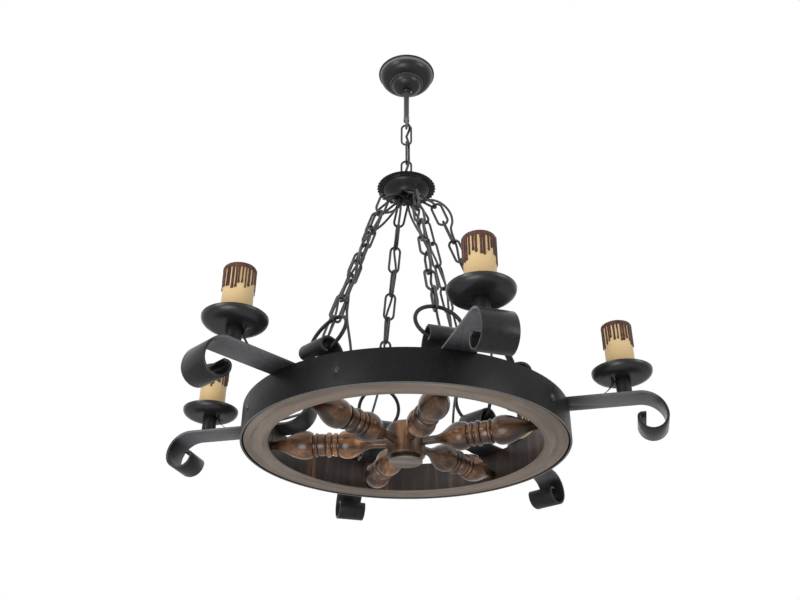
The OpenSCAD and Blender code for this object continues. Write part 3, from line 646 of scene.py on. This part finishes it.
class CHANDELIER_OT_crown(PieceOperator, bpy.types.Operator):
    """Makes the fluted plate and finishes the rest of the crown"""

    bl_idname = "chandelier.crown"
    bl_label = "Crown"
    flutes = 38
    steps_per_flute = 8
    flute_in = 36.5 * MM
    flute_full = 4 * MM
    flute_deep = 1.6 * MM
    lobe_in = 41 * MM
    lobe_deep = 1.8 * MM

    def build(self, scene):
        paint = iron("crown_paint", 1.3, 45, 0.5, 0.34, 0.2 * MM, specular=0.3)
        for node in ("crown_cup", "crown_eye", "chain_spider"):
            piece(cad_copy(node), node + "_dressed", "wheel", paint, 38, [node])
        give("crown_nut", paint)
        piece(self.fluted(), "crown_plate_fluted", "wheel", paint, 60, ["crown_plate"])

    def fluted(self):
        low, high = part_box("crown_plate")
        top, edge = high.z, high.x
        thick, bore = 2.2 * MM, 3.8 * MM
        shelf = top - thick
        profile = [
            (bore, top), (20 * MM, top), (33.5 * MM, top), (34.2 * MM, top - 0.5 * MM),
            (35 * MM, top - 0.7 * MM), (36 * MM, top - 0.5 * MM), (38 * MM, top), (40 * MM, top + 0.1 * MM),
            (42 * MM, top - 0.1 * MM), (43.4 * MM, top - 0.5 * MM), (edge - 0.2 * MM, top - 1.1 * MM),
            (43.4 * MM, shelf + 0.4 * MM), (42 * MM, shelf + 0.1 * MM), (40 * MM, shelf), (37.8 * MM, shelf),
            (37.4 * MM, low.z), (36 * MM, low.z), (35.6 * MM, shelf), (20 * MM, shelf), (bore, shelf),
        ]
        bm = bmesh.new()
        turned(bm, profile, self.flutes * self.steps_per_flute)
        for v in bm.verts:
            r = math.hypot(v.co.x, v.co.y)
            if r < self.flute_in:
                continue
            share = min(1, (r - self.flute_in) / self.flute_full)
            lobe = (self.flutes * math.atan2(v.co.y, v.co.x) / TURN + 0.5) % 1 * 2 - 1
            v.co.z += self.flute_deep * share * (lobe * lobe - 0.5)
            if r > self.lobe_in:
                pull = self.lobe_deep * lobe * lobe
                v.co.x -= v.co.x / r * pull
                v.co.y -= v.co.y / r * pull
        return point_out(bm)


class CHANDELIER_OT_wheel_iron(PieceOperator, bpy.types.Operator):
    """Rounds the band's edges and makes the slotted screws"""

    bl_idname = "chandelier.wheel_iron"
    bl_label = "Band and screws"
    head_r = 4.6 * MM
    head_h = 2.6 * MM
    head_sunk = 1.5 * MM
    dome_steps = 8
    slot_half = 0.55 * MM
    slot_deep = 1.1 * MM
    arm_screws_at = (182.7 * MM, 198.7 * MM)
    band_screw_spread = 38

    def build(self, scene):
        edge = scene.chandelier_iron.edge
        band = self.band_finish()
        bm = round_edges(join_flats(cad_copy("iron_band")), edge, 40, 3)
        piece(bm, "band_dressed", "wheel", band, 35, ["iron_band"])
        screws = iron("screw_paint", 1.6, 120, 0.9, 0.3, 0.1 * MM, specular=0.5)
        bm = bmesh.new()
        draw = random.Random(5)
        for k in ARMS:
            for r in self.arm_screws_at:
                at = r * direction(arm_bearing(k)) + BAR_TOP * UP
                a = draw.uniform(0, 180)
                self.slotted_head(bm, at, UP, direction(a))
        for k in range(6):
            spread = self.band_screw_spread if k % 2 else -self.band_screw_spread
            out = direction(ARM_BEARING + 120 * (k // 2) + spread)
            at = WHEEL_R * out + (WHEEL_Z + WHEEL_TOP) / 2 * UP
            a = draw.uniform(0, math.pi)
            across = math.cos(a) * out.cross(UP) + math.sin(a) * UP
            self.slotted_head(bm, at, out, across)
        piece(bm, "slotted_screws", "wheel", screws, 35, ["wheel_screws"])

    def slotted_head(self, bm, at, outward, across):
        """A round screw head with its slot cut, standing on a point."""
        head = bmesh.new()
        radius, height, slot = self.head_r, self.head_h, self.slot_half
        ball = (radius * radius + height * height) / (2 * height)
        profile = [(0, -self.head_sunk), (radius * 0.9, -self.head_sunk), (radius, -0.05 * MM)]
        for i in range(1, self.dome_steps + 1):
            r = radius * (1 - i / self.dome_steps)
            profile.append((r, math.sqrt(ball * ball - r * r) - ball + height))
        turned(head, profile, 24, closed=False)
        for y in (-slot, slot):
            geom = head.verts[:] + head.edges[:] + head.faces[:]
            bmesh.ops.bisect_plane(head, geom=geom, dist=1e-7, plane_co=(0, y, 0), plane_no=(0, 1, 0))
        centres = [(f, f.calc_center_median()) for f in head.faces]
        floor = [f for f, centre in centres if abs(centre.y) < slot and centre.z > 0]
        sunk = bmesh.ops.extrude_face_region(head, geom=floor)
        bmesh.ops.delete(head, geom=floor, context="FACES_ONLY")
        for v in [g for g in sunk["geom"] if isinstance(g, bmesh.types.BMVert)]:
            v.co.z = min(v.co.z, height) - self.slot_deep
        point_out(head)
        up, side = outward.normalized(), across.normalized()
        turn = Matrix((side, up.cross(side), up)).transposed().to_4x4()
        bmesh.ops.transform(head, matrix=Matrix.Translation(at) @ turn, verts=head.verts)
        add_to(bm, head)

    def band_finish(self):
        """Black paint painted deeper than on the arms as shade on the band's upright face, with a painted
        highlight along the lower edge.
        """
        made = iron("band_paint", 1.0, 14, 0.16, 0.4, 0.25 * MM, specular=0.13)
        t = Tree(made.node_tree)
        height = t.parts(t.coordinates())[2]
        # Painted highlight: the lowest millimetre of the band is painted grey where light catches the lower
        # edge; the rest is painted darker as shade.
        edge = t.between(height, WHEEL_Z + 0.9 * MM, WHEEL_Z + 0.3 * MM)
        black = bpy.context.scene.chandelier_iron.black
        t.feed(paint_input(made), t.blend(edge, shade(black, 0.62), 0.13))
        return made


class CHANDELIER_OT_arms(PieceOperator, bpy.types.Operator):
    """Rounds the edges of the six scrolled arms and finishes posts and trays"""

    bl_idname = "chandelier.arms"
    bl_label = "Arms, posts and trays"

    def build(self, scene):
        edge = scene.chandelier_iron.edge
        bar = self.bar_finish()
        for k in ARMS:
            node = f"arm_{k}"
            bm = round_edges(join_flats(cad_copy(node)), edge, 50, 2)
            piece(bm, node + "_dressed", "wheel", bar, 35, [node])
        posts = iron("post_paint", 0.9, 60, 0.2, 0.42, 0.15 * MM, specular=0.2)
        bm = round_edges(join_flats(cad_copy("arm_posts")), 0.4 * MM, 50)
        piece(bm, "posts_dressed", "wheel", posts, 35, ["arm_posts"])
        trays = iron("tray_paint", 1.1, 30, 0.1, 0.3, 0.03 * MM, specular=0.42)
        for k in ARMS:
            node = f"drip_tray_{k}"
            piece(cad_copy(node), node + "_dressed", "wheel", trays, 38, [node])

    def bar_finish(self):
        """Black paint with a painted grey sheen, standing for the bright floor's reflection, on the bars
        between the wheel and the scrolls; it fades into painted shade towards the wheel and is mostly gone on
        the scrolls.
        """
        made = iron("arm_paint", 1.0, 16, 0.3, 0.32, 0.2 * MM, specular=0.24)
        t = Tree(made.node_tree)
        x, y, z = t.parts(t.coordinates())
        radius = t.length(x, y)
        # Painted sheen: the bars are painted grey as if reflecting the bright floor, fading to painted shade
        # near the wheel and on the scrolls.
        level = t.between(z, WHEEL_TOP - 12 * MM, WHEEL_TOP - 3 * MM)
        outside = t.between(radius, WHEEL_R, WHEEL_R + 45 * MM, 0.1, 1.0)
        before_scroll = t.between(radius, WHEEL_R + 118 * MM, WHEEL_R + 95 * MM, 0.2, 1.0)
        stain_shade_and_sheen = t.math("MULTIPLY", t.math("MULTIPLY", level, outside), before_scroll)
        black = bpy.context.scene.chandelier_iron.black
        t.feed(paint_input(made), t.blend(stain_shade_and_sheen, shade(black, 1.1), shade(black, 9.5)))
        return made


# ---- Wood ----


def ease(t):
    return (1 - math.cos(math.pi * t)) / 2


def swell(x0, x1, r0, r1, n=12):
    """A stretch of turning between two stations, eased from radius r0 to r1."""
    return [(x0 + (x1 - x0) * i / n, r0 + (r1 - r0) * ease(i / n)) for i in range(n + 1)]


def bead(x0, x1, low, high, n=10):
    """A rounded bead between two stations."""
    outline = []
    for i in range(n):
        outline.append((x0 + (x1 - x0) * i / n, low + (high - low) * math.sqrt(math.sin(math.pi * i / n))))
    return outline + [(x1, low)]


def shoulder(x0, x1, r0, r1, n=10):
    """A rounded shoulder, steep at r0 and level at r1."""
    outline = []
    for i in range(n + 1):
        outline.append((x0 + (x1 - x0) * i / n, r0 + (r1 - r0) * math.sqrt(1 - (1 - i / n) ** 2)))
    return outline


def spoke_outline():
    """Neck, round bulb, beads and drum between grooves, bulb and taper, with a tenon at each end."""
    end, bulb, tenon = 5.4 * MM, 18.2 * MM, 8 * MM
    groove = bulb - 5.4 * MM

    def at(share):
        """The station a share of the way from hub to rim."""
        return HUB_R + share * (RIM_IN - HUB_R)

    outline = [(HUB_R - tenon, 0), (HUB_R - tenon, end), (at(0.1), end)]
    outline += swell(at(0.11), at(0.325), end, bulb)
    outline += shoulder(at(0.405), at(0.335), groove, bulb)[::-1]
    outline += bead(at(0.412), at(0.458), groove, bulb - 2.9 * MM)
    outline += bead(at(0.466), at(0.516), groove, bulb - 2 * MM)
    outline += [(at(0.52), bulb - 4.4 * MM), (at(0.535), bulb - 4 * MM)]
    outline += [(at(0.57), bulb - 4 * MM), (at(0.583), bulb - 4.4 * MM)]
    outline += bead(at(0.585), at(0.613), groove, bulb - 2.6 * MM)
    outline += shoulder(at(0.624), at(0.695), groove, bulb)
    outline += swell(at(0.705), at(0.98), bulb, end)
    return outline + [(RIM_IN + tenon, end), (RIM_IN + tenon, 0)]


def hub_outline():
    """Disc, deep groove, body with a rounded lower edge, and the eased top."""
    edge, top = 2.6 * MM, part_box("hub")[1].z - WHEEL_Z
    outline = [(0, -17), (20.5, -17), (21.5, -16), (21.5, -14.8), (18.1, -14.2), (18.1, -10.6)]
    outline = [(r * MM, z * MM) for r, z in outline] + [(HUB_R - edge, -10 * MM)]
    for i in range(6):
        a = math.radians(-75 + 15 * i)
        outline.append((HUB_R - edge + edge * math.cos(a), -7.2 * MM + edge * math.sin(a)))
    for i in range(6):
        outline.append((HUB_R - 2.5 * MM * ease(i / 5), top - (6 - 0.8 * i) * MM))
    return outline + [(HUB_R - 5 * MM, top), (0, top)]


class CHANDELIER_OT_wheel_wood(PieceOperator, bpy.types.Operator):
    """Finishes the rim and turns the hub and the six spokes"""

    bl_idname = "chandelier.wheel_wood"
    bl_label = "Rim, hub and spokes"

    def build(self, scene):
        wood = scene.chandelier_wood
        bm = round_edges(join_flats(cad_copy("wooden_rim")), 0.5 * MM, 30, 2)
        piece(bm, "rim_dressed", "wheel", self.rim_finish(wood), 35, ["wooden_rim"])
        bm = bmesh.new()
        turned(bm, hub_outline(), 96, closed=False)
        bmesh.ops.translate(bm, verts=bm.verts, vec=WHEEL_Z * UP)
        piece(point_out(bm), "hub_turned", "wheel", self.hub_finish(wood), 30, ["hub"])
        for k, bearing in enumerate(SPOKE_BEARINGS, 1):
            node = f"spoke_{k}"
            made = self.spoke_finish(wood, k, bearing)
            piece(self.spoke(bearing), node + "_turned", "wheel", made, 25, [node])

    def spoke(self, bearing):
        bm = bmesh.new()
        turned(bm, [(r, x) for x, r in spoke_outline()], 56, closed=False)
        out = direction(bearing)
        lay = Matrix((UP, out.cross(UP), out)).transposed().to_4x4()
        bmesh.ops.transform(bm, matrix=Matrix.Translation(SPOKE_Z * UP) @ lay, verts=bm.verts)
        return point_out(bm)

    def rim_finish(self, wood):
        """Plain grey underside painted paler as lit from below, a wall painted dark as shade with upright
        runs of stain, and painted shade in the gap at the band.
        """
        made, t, shader = finish_material(
            "rim_stain", specular=0.35, coat=0.08, coat_roughness=0.35, diffuse=0.12
        )
        x, y, z = t.parts(t.place(t.coordinates(), location=(0, 0, -WHEEL_Z)))
        radius = t.length(x, y)
        laid = t.joined(x, radius, t.math("MULTIPLY", y, 0.1))
        under = t.group(wood_grain(), {
            "Vector": laid, "Dark": shade(wood.rim, 0.62), "Body": wood.rim,
            "Light": shade(wood.rim, 1.12), "Blotch": 0.15, "Gloss": 0.5,
        })
        wall = t.group(wood_grain(), {
            "Vector": t.joined(t.math("MULTIPLY", z, 0.6), x, y),
            "Dark": (0.007, 0.004, 0.003), "Body": (0.024, 0.014, 0.01),
            "Light": (0.15, 0.06, 0.02), "Blotch": 0.6, "Gloss": 0.42,
        })
        # Painted light and shade: the underside is painted pale as lit from below, the wall dark as shaded.
        upper = t.between(z, 1.4 * MM, 2.6 * MM)
        # Painted shade: the rim's outer edge is painted near black as the shade in the gap at the band.
        gap = t.between(radius, RIM_R - 1.4 * MM, RIM_R - 0.6 * MM)
        tone = t.blend(upper, under["Color"], wall["Color"])
        duller = t.between(upper, 0, 1, 0.08, 0.0)
        rough = t.math("ADD", duller, under["Roughness"], True)
        dress(t, shader, t.blend(gap, tone, 0.004), rough, under["Height"], 0.3 * MM)
        return made

    def hub_finish(self, wood):
        """Stained sides with fine turning lines, a plain grey disc and a groove painted dark as shade."""
        made, t, shader = finish_material(
            "hub_stain", specular=0.45, coat=0.2, coat_roughness=0.3, diffuse=0.1
        )
        at = t.place(t.coordinates(), location=(0, 0, -WHEEL_Z))
        z = t.parts(at)[2]
        side = t.group(wood_grain(), {
            "Vector": t.place(at, rotation=(0, 90, 0)), "Dark": wood.dark, "Body": wood.body,
            "Light": wood.light, "Blotch": 0.8, "Gloss": 0.36,
        })
        end = t.group(wood_grain(), {
            "Vector": at, "Dark": shade(wood.rim, 0.5), "Body": shade(wood.rim, 0.95),
            "Light": shade(wood.rim, 1.15), "Blotch": 0.3, "Gloss": 0.6,
        })
        lines = t.put("TexWave", {
            "Vector": t.joined(z, 0.0, 0.0), "Scale": 140.0, "Distortion": 0.0
        }, wave_type="BANDS", bands_direction="X").outputs["Fac"]
        low = t.between(z, -14.2 * MM, -15 * MM)
        # Painted shade: the groove between the disc and the body is painted near black where shade falls in
        # it.
        above, below = t.between(z, -14.8 * MM, -14.2 * MM), t.between(z, -9.8 * MM, -10.6 * MM)
        groove = t.math("MULTIPLY", t.math("MULTIPLY", above, below), 0.9)
        tone = t.blend(low, side["Color"], end["Color"])
        tone = t.blend(groove, tone, (0.008, 0.006, 0.005))
        turned_lines = t.math("MULTIPLY", t.between(lines, 0.7, 1.0), 0.5)
        height = t.math("SUBTRACT", side["Height"], turned_lines)
        dress(t, shader, tone, t.between(low, 0, 1, 0.36, 0.62), height, 0.3 * MM)
        return made

    def spoke_finish(self, wood, k, bearing):
        """Varnished grain along one spoke, its tones scaled as painted light by how much light falls on it,
        with painted shade at its narrow ends, in its grooves and at its seat by the rim, where it is also
        dull.
        """
        made, t, shader = finish_material(
            f"spoke_stain_{k}", specular=0.3, coat_roughness=0.24, diffuse=0.1
        )
        turn = (0, 0, bearing - 90)
        at = t.place(t.coordinates(), location=(0, 0, SPOKE_Z), rotation=turn, kind="TEXTURE")
        x, y, z = t.parts(at)
        # Painted light: the spoke's tones are scaled by how much light from the left falls on it.
        stain = SPOKE_PAINTED_LIGHT[k - 1]
        grain = t.group(wood_grain(), {
            "Vector": t.place(at, location=(k * 1.37, k * 0.21, 0)), "Dark": shade(wood.dark, stain),
            "Body": shade(wood.body, stain), "Light": shade(wood.light, stain),
            "Blotch": 0.55, "Gloss": 0.3,
        })
        radius = t.length(y, z)
        # Painted shade: the spoke is painted darker where it narrows towards its ends, in the grooves of its
        # waist and at its seat by the rim.
        stain_shade_and_sheen = t.between(radius, 13.2 * MM, 9 * MM, 0.0, 0.55)
        waist = t.math("MULTIPLY", t.between(x, 83 * MM, 86 * MM), t.between(x, 120.5 * MM, 117.5 * MM))
        grooved = t.math("MULTIPLY", waist, t.between(radius, 14.6 * MM, 13.6 * MM))
        darker = t.math("MAXIMUM", stain_shade_and_sheen, t.math("MULTIPLY", grooved, 0.85))
        seat = t.between(x, RIM_IN - 24 * MM, RIM_IN - 7 * MM)
        darker = t.math("MAXIMUM", darker, t.math("MULTIPLY", seat, 0.97))
        t.feed(shader["Coat Weight"], t.between(seat, 0.0, 1.0, 0.55, 0.0))
        t.feed(shader["Specular IOR Level"], t.between(seat, 0.0, 1.0, 0.3, 0.05))
        tone = t.blend(darker, grain["Color"], wood.dark)
        dress(t, shader, tone, grain["Roughness"], grain["Height"], 0.22 * MM)
        return made


# ---- Candles ----


class CHANDELIER_OT_candles(PieceOperator, bpy.types.Operator):
    """Finishes the sleeves, runs the wax down them and fits the lamp holders"""

    bl_idname = "chandelier.candles"
    bl_label = "Candles and lamp holders"
    steps_per_rivulet = 9
    mouth_r = 14.8 * MM
    wax_mouth_r = 14.9 * MM
    wax_foot = 44  # mm below the top, past the longest drip
    cap = 7 * MM
    tip = 3.6 * MM

    def build(self, scene):
        settings = scene.chandelier_candle
        sleeve = self.sleeve_finish(settings)
        wax = self.wax_finish(settings)
        for k in ARMS:
            node, body = f"candle_sleeve_{k}", f"candle_{k}"
            piece(self.sleeve(settings, k), node + "_plain", body, sleeve, 38, [node])
            piece(self.wax(settings, k), f"wax_{k}", body, wax, 75, [node])
        self.holders()

    def sleeve(self, settings, k):
        """The sleeve without its wax."""
        low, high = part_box(f"candle_sleeve_{k}")
        at = middle(f"candle_sleeve_{k}")
        foot, top, r = low.z, high.z, settings.sleeve_r
        inner, lip = r - 2 * MM, self.mouth_r
        profile = [
            (inner, foot), (r - 0.3 * MM, foot), (r, foot + 0.3 * MM), (r, top - 4 * MM),
            (r - 1.2 * MM, top - 1.2 * MM), (lip, top - 1.2 * MM), (lip, top - 3 * MM), (inner, top - 5 * MM),
        ]
        bm = bmesh.new()
        turned(bm, profile, 72, (at.x, at.y, 0))
        return point_out(bm)

    def sleeve_finish(self, settings):
        """Cream, darker and warmer towards the foot."""
        made, t, shader = finish_material("sleeve_cream", specular=0.4, diffuse=0.6)
        shader["Subsurface Weight"].default_value = 0.08
        shader["Subsurface Radius"].default_value = (0.004, 0.002, 0.001)
        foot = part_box("candle_sleeve_1")[0].z
        at = t.coordinates()
        height = t.parts(at)[2]
        broad = t.noise(at, 30.0, 4.0)
        fine = t.noise(t.place(at, scale=(1, 1, 0.3)), 500.0, 3.0)
        deeper = [c * share for c, share in zip(settings.cream, (0.86, 0.8, 0.72))]
        tone = t.blend(t.between(height, foot + 55 * MM, foot + 20 * MM), settings.cream, deeper)
        tone = t.blend(t.between(broad, 0.45, 0.7, 0.0, 0.5), tone, deeper)
        height = t.math("ADD", broad, t.math("MULTIPLY", fine, 0.15))
        dress(t, shader, tone, t.between(fine, 0.3, 0.7, 0.4, 0.5), height, 0.3 * MM)
        return made

    def wax_finish(self, settings):
        """Dark brown wax with lighter, redder patches."""
        made, t, shader = finish_material("drip_wax", specular=0.3, diffuse=0.04)
        at = t.coordinates()
        broad = t.noise(at, 120.0, 4.0, 0.6)
        fine = t.noise(t.place(at, scale=(1, 1, 0.25)), 700.0, 3.0)
        tone = t.blend(t.between(broad, 0.42, 0.7), settings.wax, shade(settings.wax, 2.1))
        height = t.math("ADD", fine, broad)
        dress(t, shader, tone, t.between(broad, 0.3, 0.7, 0.36, 0.5), height, 0.15 * MM)
        return made

    def wax(self, settings, k):
        """A collar of wax over the sleeve's top whose outer wall swells into rivulets."""
        at = middle(f"candle_sleeve_{k}")
        top, r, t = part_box(f"candle_sleeve_{k}")[1].z, settings.sleeve_r, settings.wax_t
        draw = random.Random(20 + k)
        count = settings.rivulets
        runs = []
        for i in range(count):
            wave = 4 * math.sin(TURN * (i / count * 2 + 0.13 * k))
            wave += 2.5 * math.sin(TURN * (i / count * 5 + 0.31 * k))
            runs.append((
                TURN * (i + draw.uniform(-0.3, 0.3)) / count,
                draw.uniform(1.05, 1.8) * MM,
                (30 + wave + draw.uniform(-4, 4)) * MM,
                draw.uniform(0.75, 1.0),
            ))
        lip = self.wax_mouth_r
        bury = r - 0.45 * MM
        wall = r - 1.2 * MM
        outer = [(bury, top - z * MM) for z in range(self.wax_foot, 5, -1)]
        outer += [(r, top - 4.4 * MM), (r, top - 3 * MM)]
        crown = [(r - 0.4 * MM, top - 1.6 * MM), (r - 1.5 * MM, top - 0.5 * MM)]
        crown += [(r - 3 * MM, top), (lip, top)]
        inner = [(lip, top - 2 * MM), (lip + 1 * MM, top - 5 * MM)]
        inner += [(wall, top - 8 * MM), (wall, top - self.wax_foot * MM)]
        bm = bmesh.new()
        turned(bm, outer + crown + inner, count * self.steps_per_rivulet)
        for v in bm.verts:
            distance = math.hypot(v.co.x, v.co.y)
            if distance < bury - 0.1 * MM and v.co.z < top - 2.2 * MM:
                continue
            turn = math.atan2(v.co.y, v.co.x) % TURN
            drop = top - v.co.z
            stand = self.stand(runs, turn, drop, r)
            if drop < self.cap:
                thick = 0.86 - 0.1 * math.cos(3 * turn + k)
                stand = max(stand, thick * min(1, (self.cap - drop) / (1.2 * MM) + 0.5))
            if drop < 3 * MM and distance < r - 0.2 * MM:
                stand *= max(0.0, (distance - lip) / (r - lip)) ** 2
                reach = distance + stand * t
            else:
                reach = r + stand * t if drop < self.cap or stand > 0 else bury
            v.co.x *= reach / distance
            v.co.y *= reach / distance
        bmesh.ops.translate(bm, verts=bm.verts, vec=(at.x, at.y, 0))
        return point_out(bm)

    def stand(self, runs, turn, drop, r):
        """How far the wax stands out at a place, from -0.3 for none to 1."""
        best = -0.3
        for centre, half, length, thick in runs:
            away = abs((turn - centre + math.pi) % TURN - math.pi) * r
            left = length - drop
            if away > 2.6 * MM or left <= 0:
                continue
            bulge = 0.32 * math.sin(math.pi * left / self.tip) if left <= self.tip else 0.0
            width = half * (1.0 + bulge)
            width *= 0.82 + 0.18 * max(0.0, 1 - drop / (14 * MM))
            if left < width:
                width *= math.sqrt(max(0.0, 1 - (1 - left / width) ** 2))
            if away < width:
                best = max(best, thick * math.sqrt(1 - (away / width) ** 2))
        return best

    def holders(self):
        """Black holders and brass nipples, each holder with its thread and contact."""
        made, t, shader = finish_material("holder_plastic", specular=0.5, diffuse=0.03)
        fine = t.noise(t.coordinates(), 600.0, 3.0)
        broad = t.noise(t.coordinates(), 60.0, 3.0)
        tone = t.blend(t.between(broad, 0.4, 0.7), (0.014, 0.014, 0.014), (0.03, 0.029, 0.028))
        dress(t, shader, tone, t.between(fine, 0.3, 0.7, 0.24, 0.34), fine, 0.03 * MM)
        bm = round_edges(join_flats(cad_copy("lamp_holders")), 0.5 * MM, 50)
        piece(bm, "holders_dressed", "wheel", made, 35, ["lamp_holders"])
        brass, t, shader = finish_material("socket_brass", metallic=1.0, diffuse=0.5)
        fine = t.noise(t.place(t.coordinates(), scale=(1, 1, 6)), 300.0, 3.0)
        tone = t.blend(t.between(fine, 0.4, 0.7), (0.66, 0.52, 0.26), (0.5, 0.38, 0.19))
        dress(t, shader, tone, t.between(fine, 0.3, 0.7, 0.25, 0.38), fine, 0.03 * MM)
        give("holder_nipples", brass)
        holder_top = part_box("lamp_holders")[1].z
        bm = bmesh.new()
        for k in ARMS:
            at = middle(f"candle_sleeve_{k}")
            self.socket(bm, Vector((at.x, at.y, holder_top)))
        piece(bm, "socket_shells", "wheel", brass, 50)

    def socket(self, bm, mouth):
        """A rolled thread inside the holder, and the contact at its foot."""
        shell = bmesh.new()
        pitch, turns, steps, per_wave = 3.6 * MM, 5, 36, 6
        foot, thread_r, depth = -24 * MM, 12.85 * MM, 0.35 * MM
        line = []
        for i in range(per_wave + 1):
            out = thread_r - depth * math.cos(TURN * i / per_wave)
            line.append(shell.verts.new((out, 0, foot + pitch * i / per_wave)))
        edges = [shell.edges.new(pair) for pair in zip(line, line[1:])]
        bmesh.ops.spin(
            shell, geom=line + edges, cent=(0, 0, 0), axis=(0, 0, 1), angle=TURN * turns,
            steps=steps * turns, dvec=(0, 0, pitch / steps),
        )
        bmesh.ops.remove_doubles(shell, verts=shell.verts, dist=1e-6)
        point_out(shell)
        bmesh.ops.solidify(shell, geom=shell.faces[:], thickness=0.05 * MM)
        contact = [(0, -25.9), (4.5, -25.9), (4.5, -23.5), (3, -22.6), (0, -22.4)]
        turned(shell, [(r * MM, z * MM) for r, z in contact], 24, closed=False)
        point_out(shell)
        bmesh.ops.translate(shell, verts=shell.verts, vec=mouth)
        add_to(bm, shell)


# ---- Flexes ----


class CHANDELIER_OT_flexes(PieceOperator, bpy.types.Operator):
    """Thickens, bows and rounds the branch flexes, and cuts the main one into one length for each joint"""

    bl_idname = "chandelier.flexes"
    bl_label = "Flexes"
    branch_extra = 0.4 * MM
    corner_r = 267.4 * MM
    bow = 9 * MM
    bow_back = 35 * MM
    bow_high = 30 * MM

    def build(self, scene):
        made, t, shader = finish_material(
            "flex_sheath", specular=0.5, coat=0.25, coat_roughness=0.15, diffuse=0.02
        )
        at = t.coordinates()
        fine = t.noise(at, 500.0, 3.0)
        broad = t.noise(at, 70.0, 3.0)
        tone = t.blend(t.between(broad, 0.4, 0.7), (0.007, 0.007, 0.007), (0.018, 0.017, 0.016))
        dress(t, shader, tone, t.between(broad, 0.3, 0.7, 0.26, 0.38), fine, 0.05 * MM)
        for k in ARMS:
            node = f"branch_flex_{k}"
            bm = self.bowed(fatter(cad_copy(node), self.branch_extra), direction(arm_bearing(k)))
            self.rounded(piece(bm, node + "_round", "wheel", made, 80, [node]))
        self.main_flex(made)

    def bowed(self, bm, out):
        """Eases the flex's corner where it leaves the bar and climbs beside the post."""
        for v in bm.verts:
            back = max(0.0, self.corner_r - v.co.dot(out))
            high = max(0.0, v.co.z - BAR_TOP - 1.8 * MM)
            near = max(0.0, 1 - back / self.bow_back) ** 2 * max(0.0, 1 - high / self.bow_high) ** 2
            v.co += self.bow * near * (UP - out)
        return bm

    @staticmethod
    def rounded(flex):
        smoother = flex.modifiers.new("round", "SUBSURF")
        smoother.levels = smoother.render_levels = 1

    def main_flex(self, sheath):
        """Cuts the flex at the middle of each link, so that each length holds one joint."""
        names = ("upper_link_swing", "middle_link_swing", "lower_link_swing", "wheel_swing")
        hinges = [PIVOTS[name] for name in names]
        heights = [h["pos_m"][2] for h in hinges]
        cuts = [None] + [(a + b) / 2 for a, b in zip(heights, heights[1:])] + [None]
        for i, hinge in enumerate(hinges):
            bm = cad_copy("main_flex")
            for height, keep_below in ((cuts[i], True), (cuts[i + 1], False)):
                if height is None:
                    continue
                bmesh.ops.bisect_plane(
                    bm, geom=bm.verts[:] + bm.edges[:] + bm.faces[:], dist=1e-7, plane_co=(0, 0, height),
                    plane_no=(0, 0, 1), clear_outer=keep_below, clear_inner=not keep_below,
                )
            made = piece(bm, f"main_flex_{i + 1}", None, sheath, 80, ["main_flex"])
            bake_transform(made)


# ---- Panel and registration ----

BUILDERS = (
    CHANDELIER_OT_stage,
    CHANDELIER_OT_ceiling_fitting,
    CHANDELIER_OT_chains,
    CHANDELIER_OT_crown,
    CHANDELIER_OT_wheel_iron,
    CHANDELIER_OT_arms,
    CHANDELIER_OT_wheel_wood,
    CHANDELIER_OT_candles,
    CHANDELIER_OT_flexes,
)
SETTINGS = {
    "chandelier_stage": StageSettings,
    "chandelier_iron": IronSettings,
    "chandelier_wood": WoodSettings,
    "chandelier_candle": CandleSettings,
}


class CHANDELIER_PT_panel(bpy.types.Panel):
    """Lists the settings and the pieces"""

    bl_label = "Chandelier"
    bl_idname = "CHANDELIER_PT_panel"
    bl_space_type = "VIEW_3D"
    bl_region_type = "UI"
    bl_category = "Chandelier"

    def draw(self, context):
        for name, group in SETTINGS.items():
            box = self.layout.box()
            box.label(text=group.__doc__)
            for entry in group.__annotations__:
                box.prop(getattr(context.scene, name), entry)
        for builder in BUILDERS:
            self.layout.operator(builder.bl_idname)


def register():
    for group in SETTINGS.values():
        bpy.utils.register_class(group)
    for name, group in SETTINGS.items():
        setattr(bpy.types.Scene, name, PointerProperty(type=group))
    for builder in BUILDERS:
        bpy.utils.register_class(builder)
    bpy.utils.register_class(CHANDELIER_PT_panel)


def unregister():
    bpy.utils.unregister_class(CHANDELIER_PT_panel)
    for builder in reversed(BUILDERS):
        bpy.utils.unregister_class(builder)
    for name, group in SETTINGS.items():
        delattr(bpy.types.Scene, name)
        bpy.utils.unregister_class(group)


def main():
    register()
    for builder in BUILDERS:
        module, name = builder.bl_idname.split(".")
        getattr(getattr(bpy.ops, module), name)()


if __name__ == "__main__":
    main()
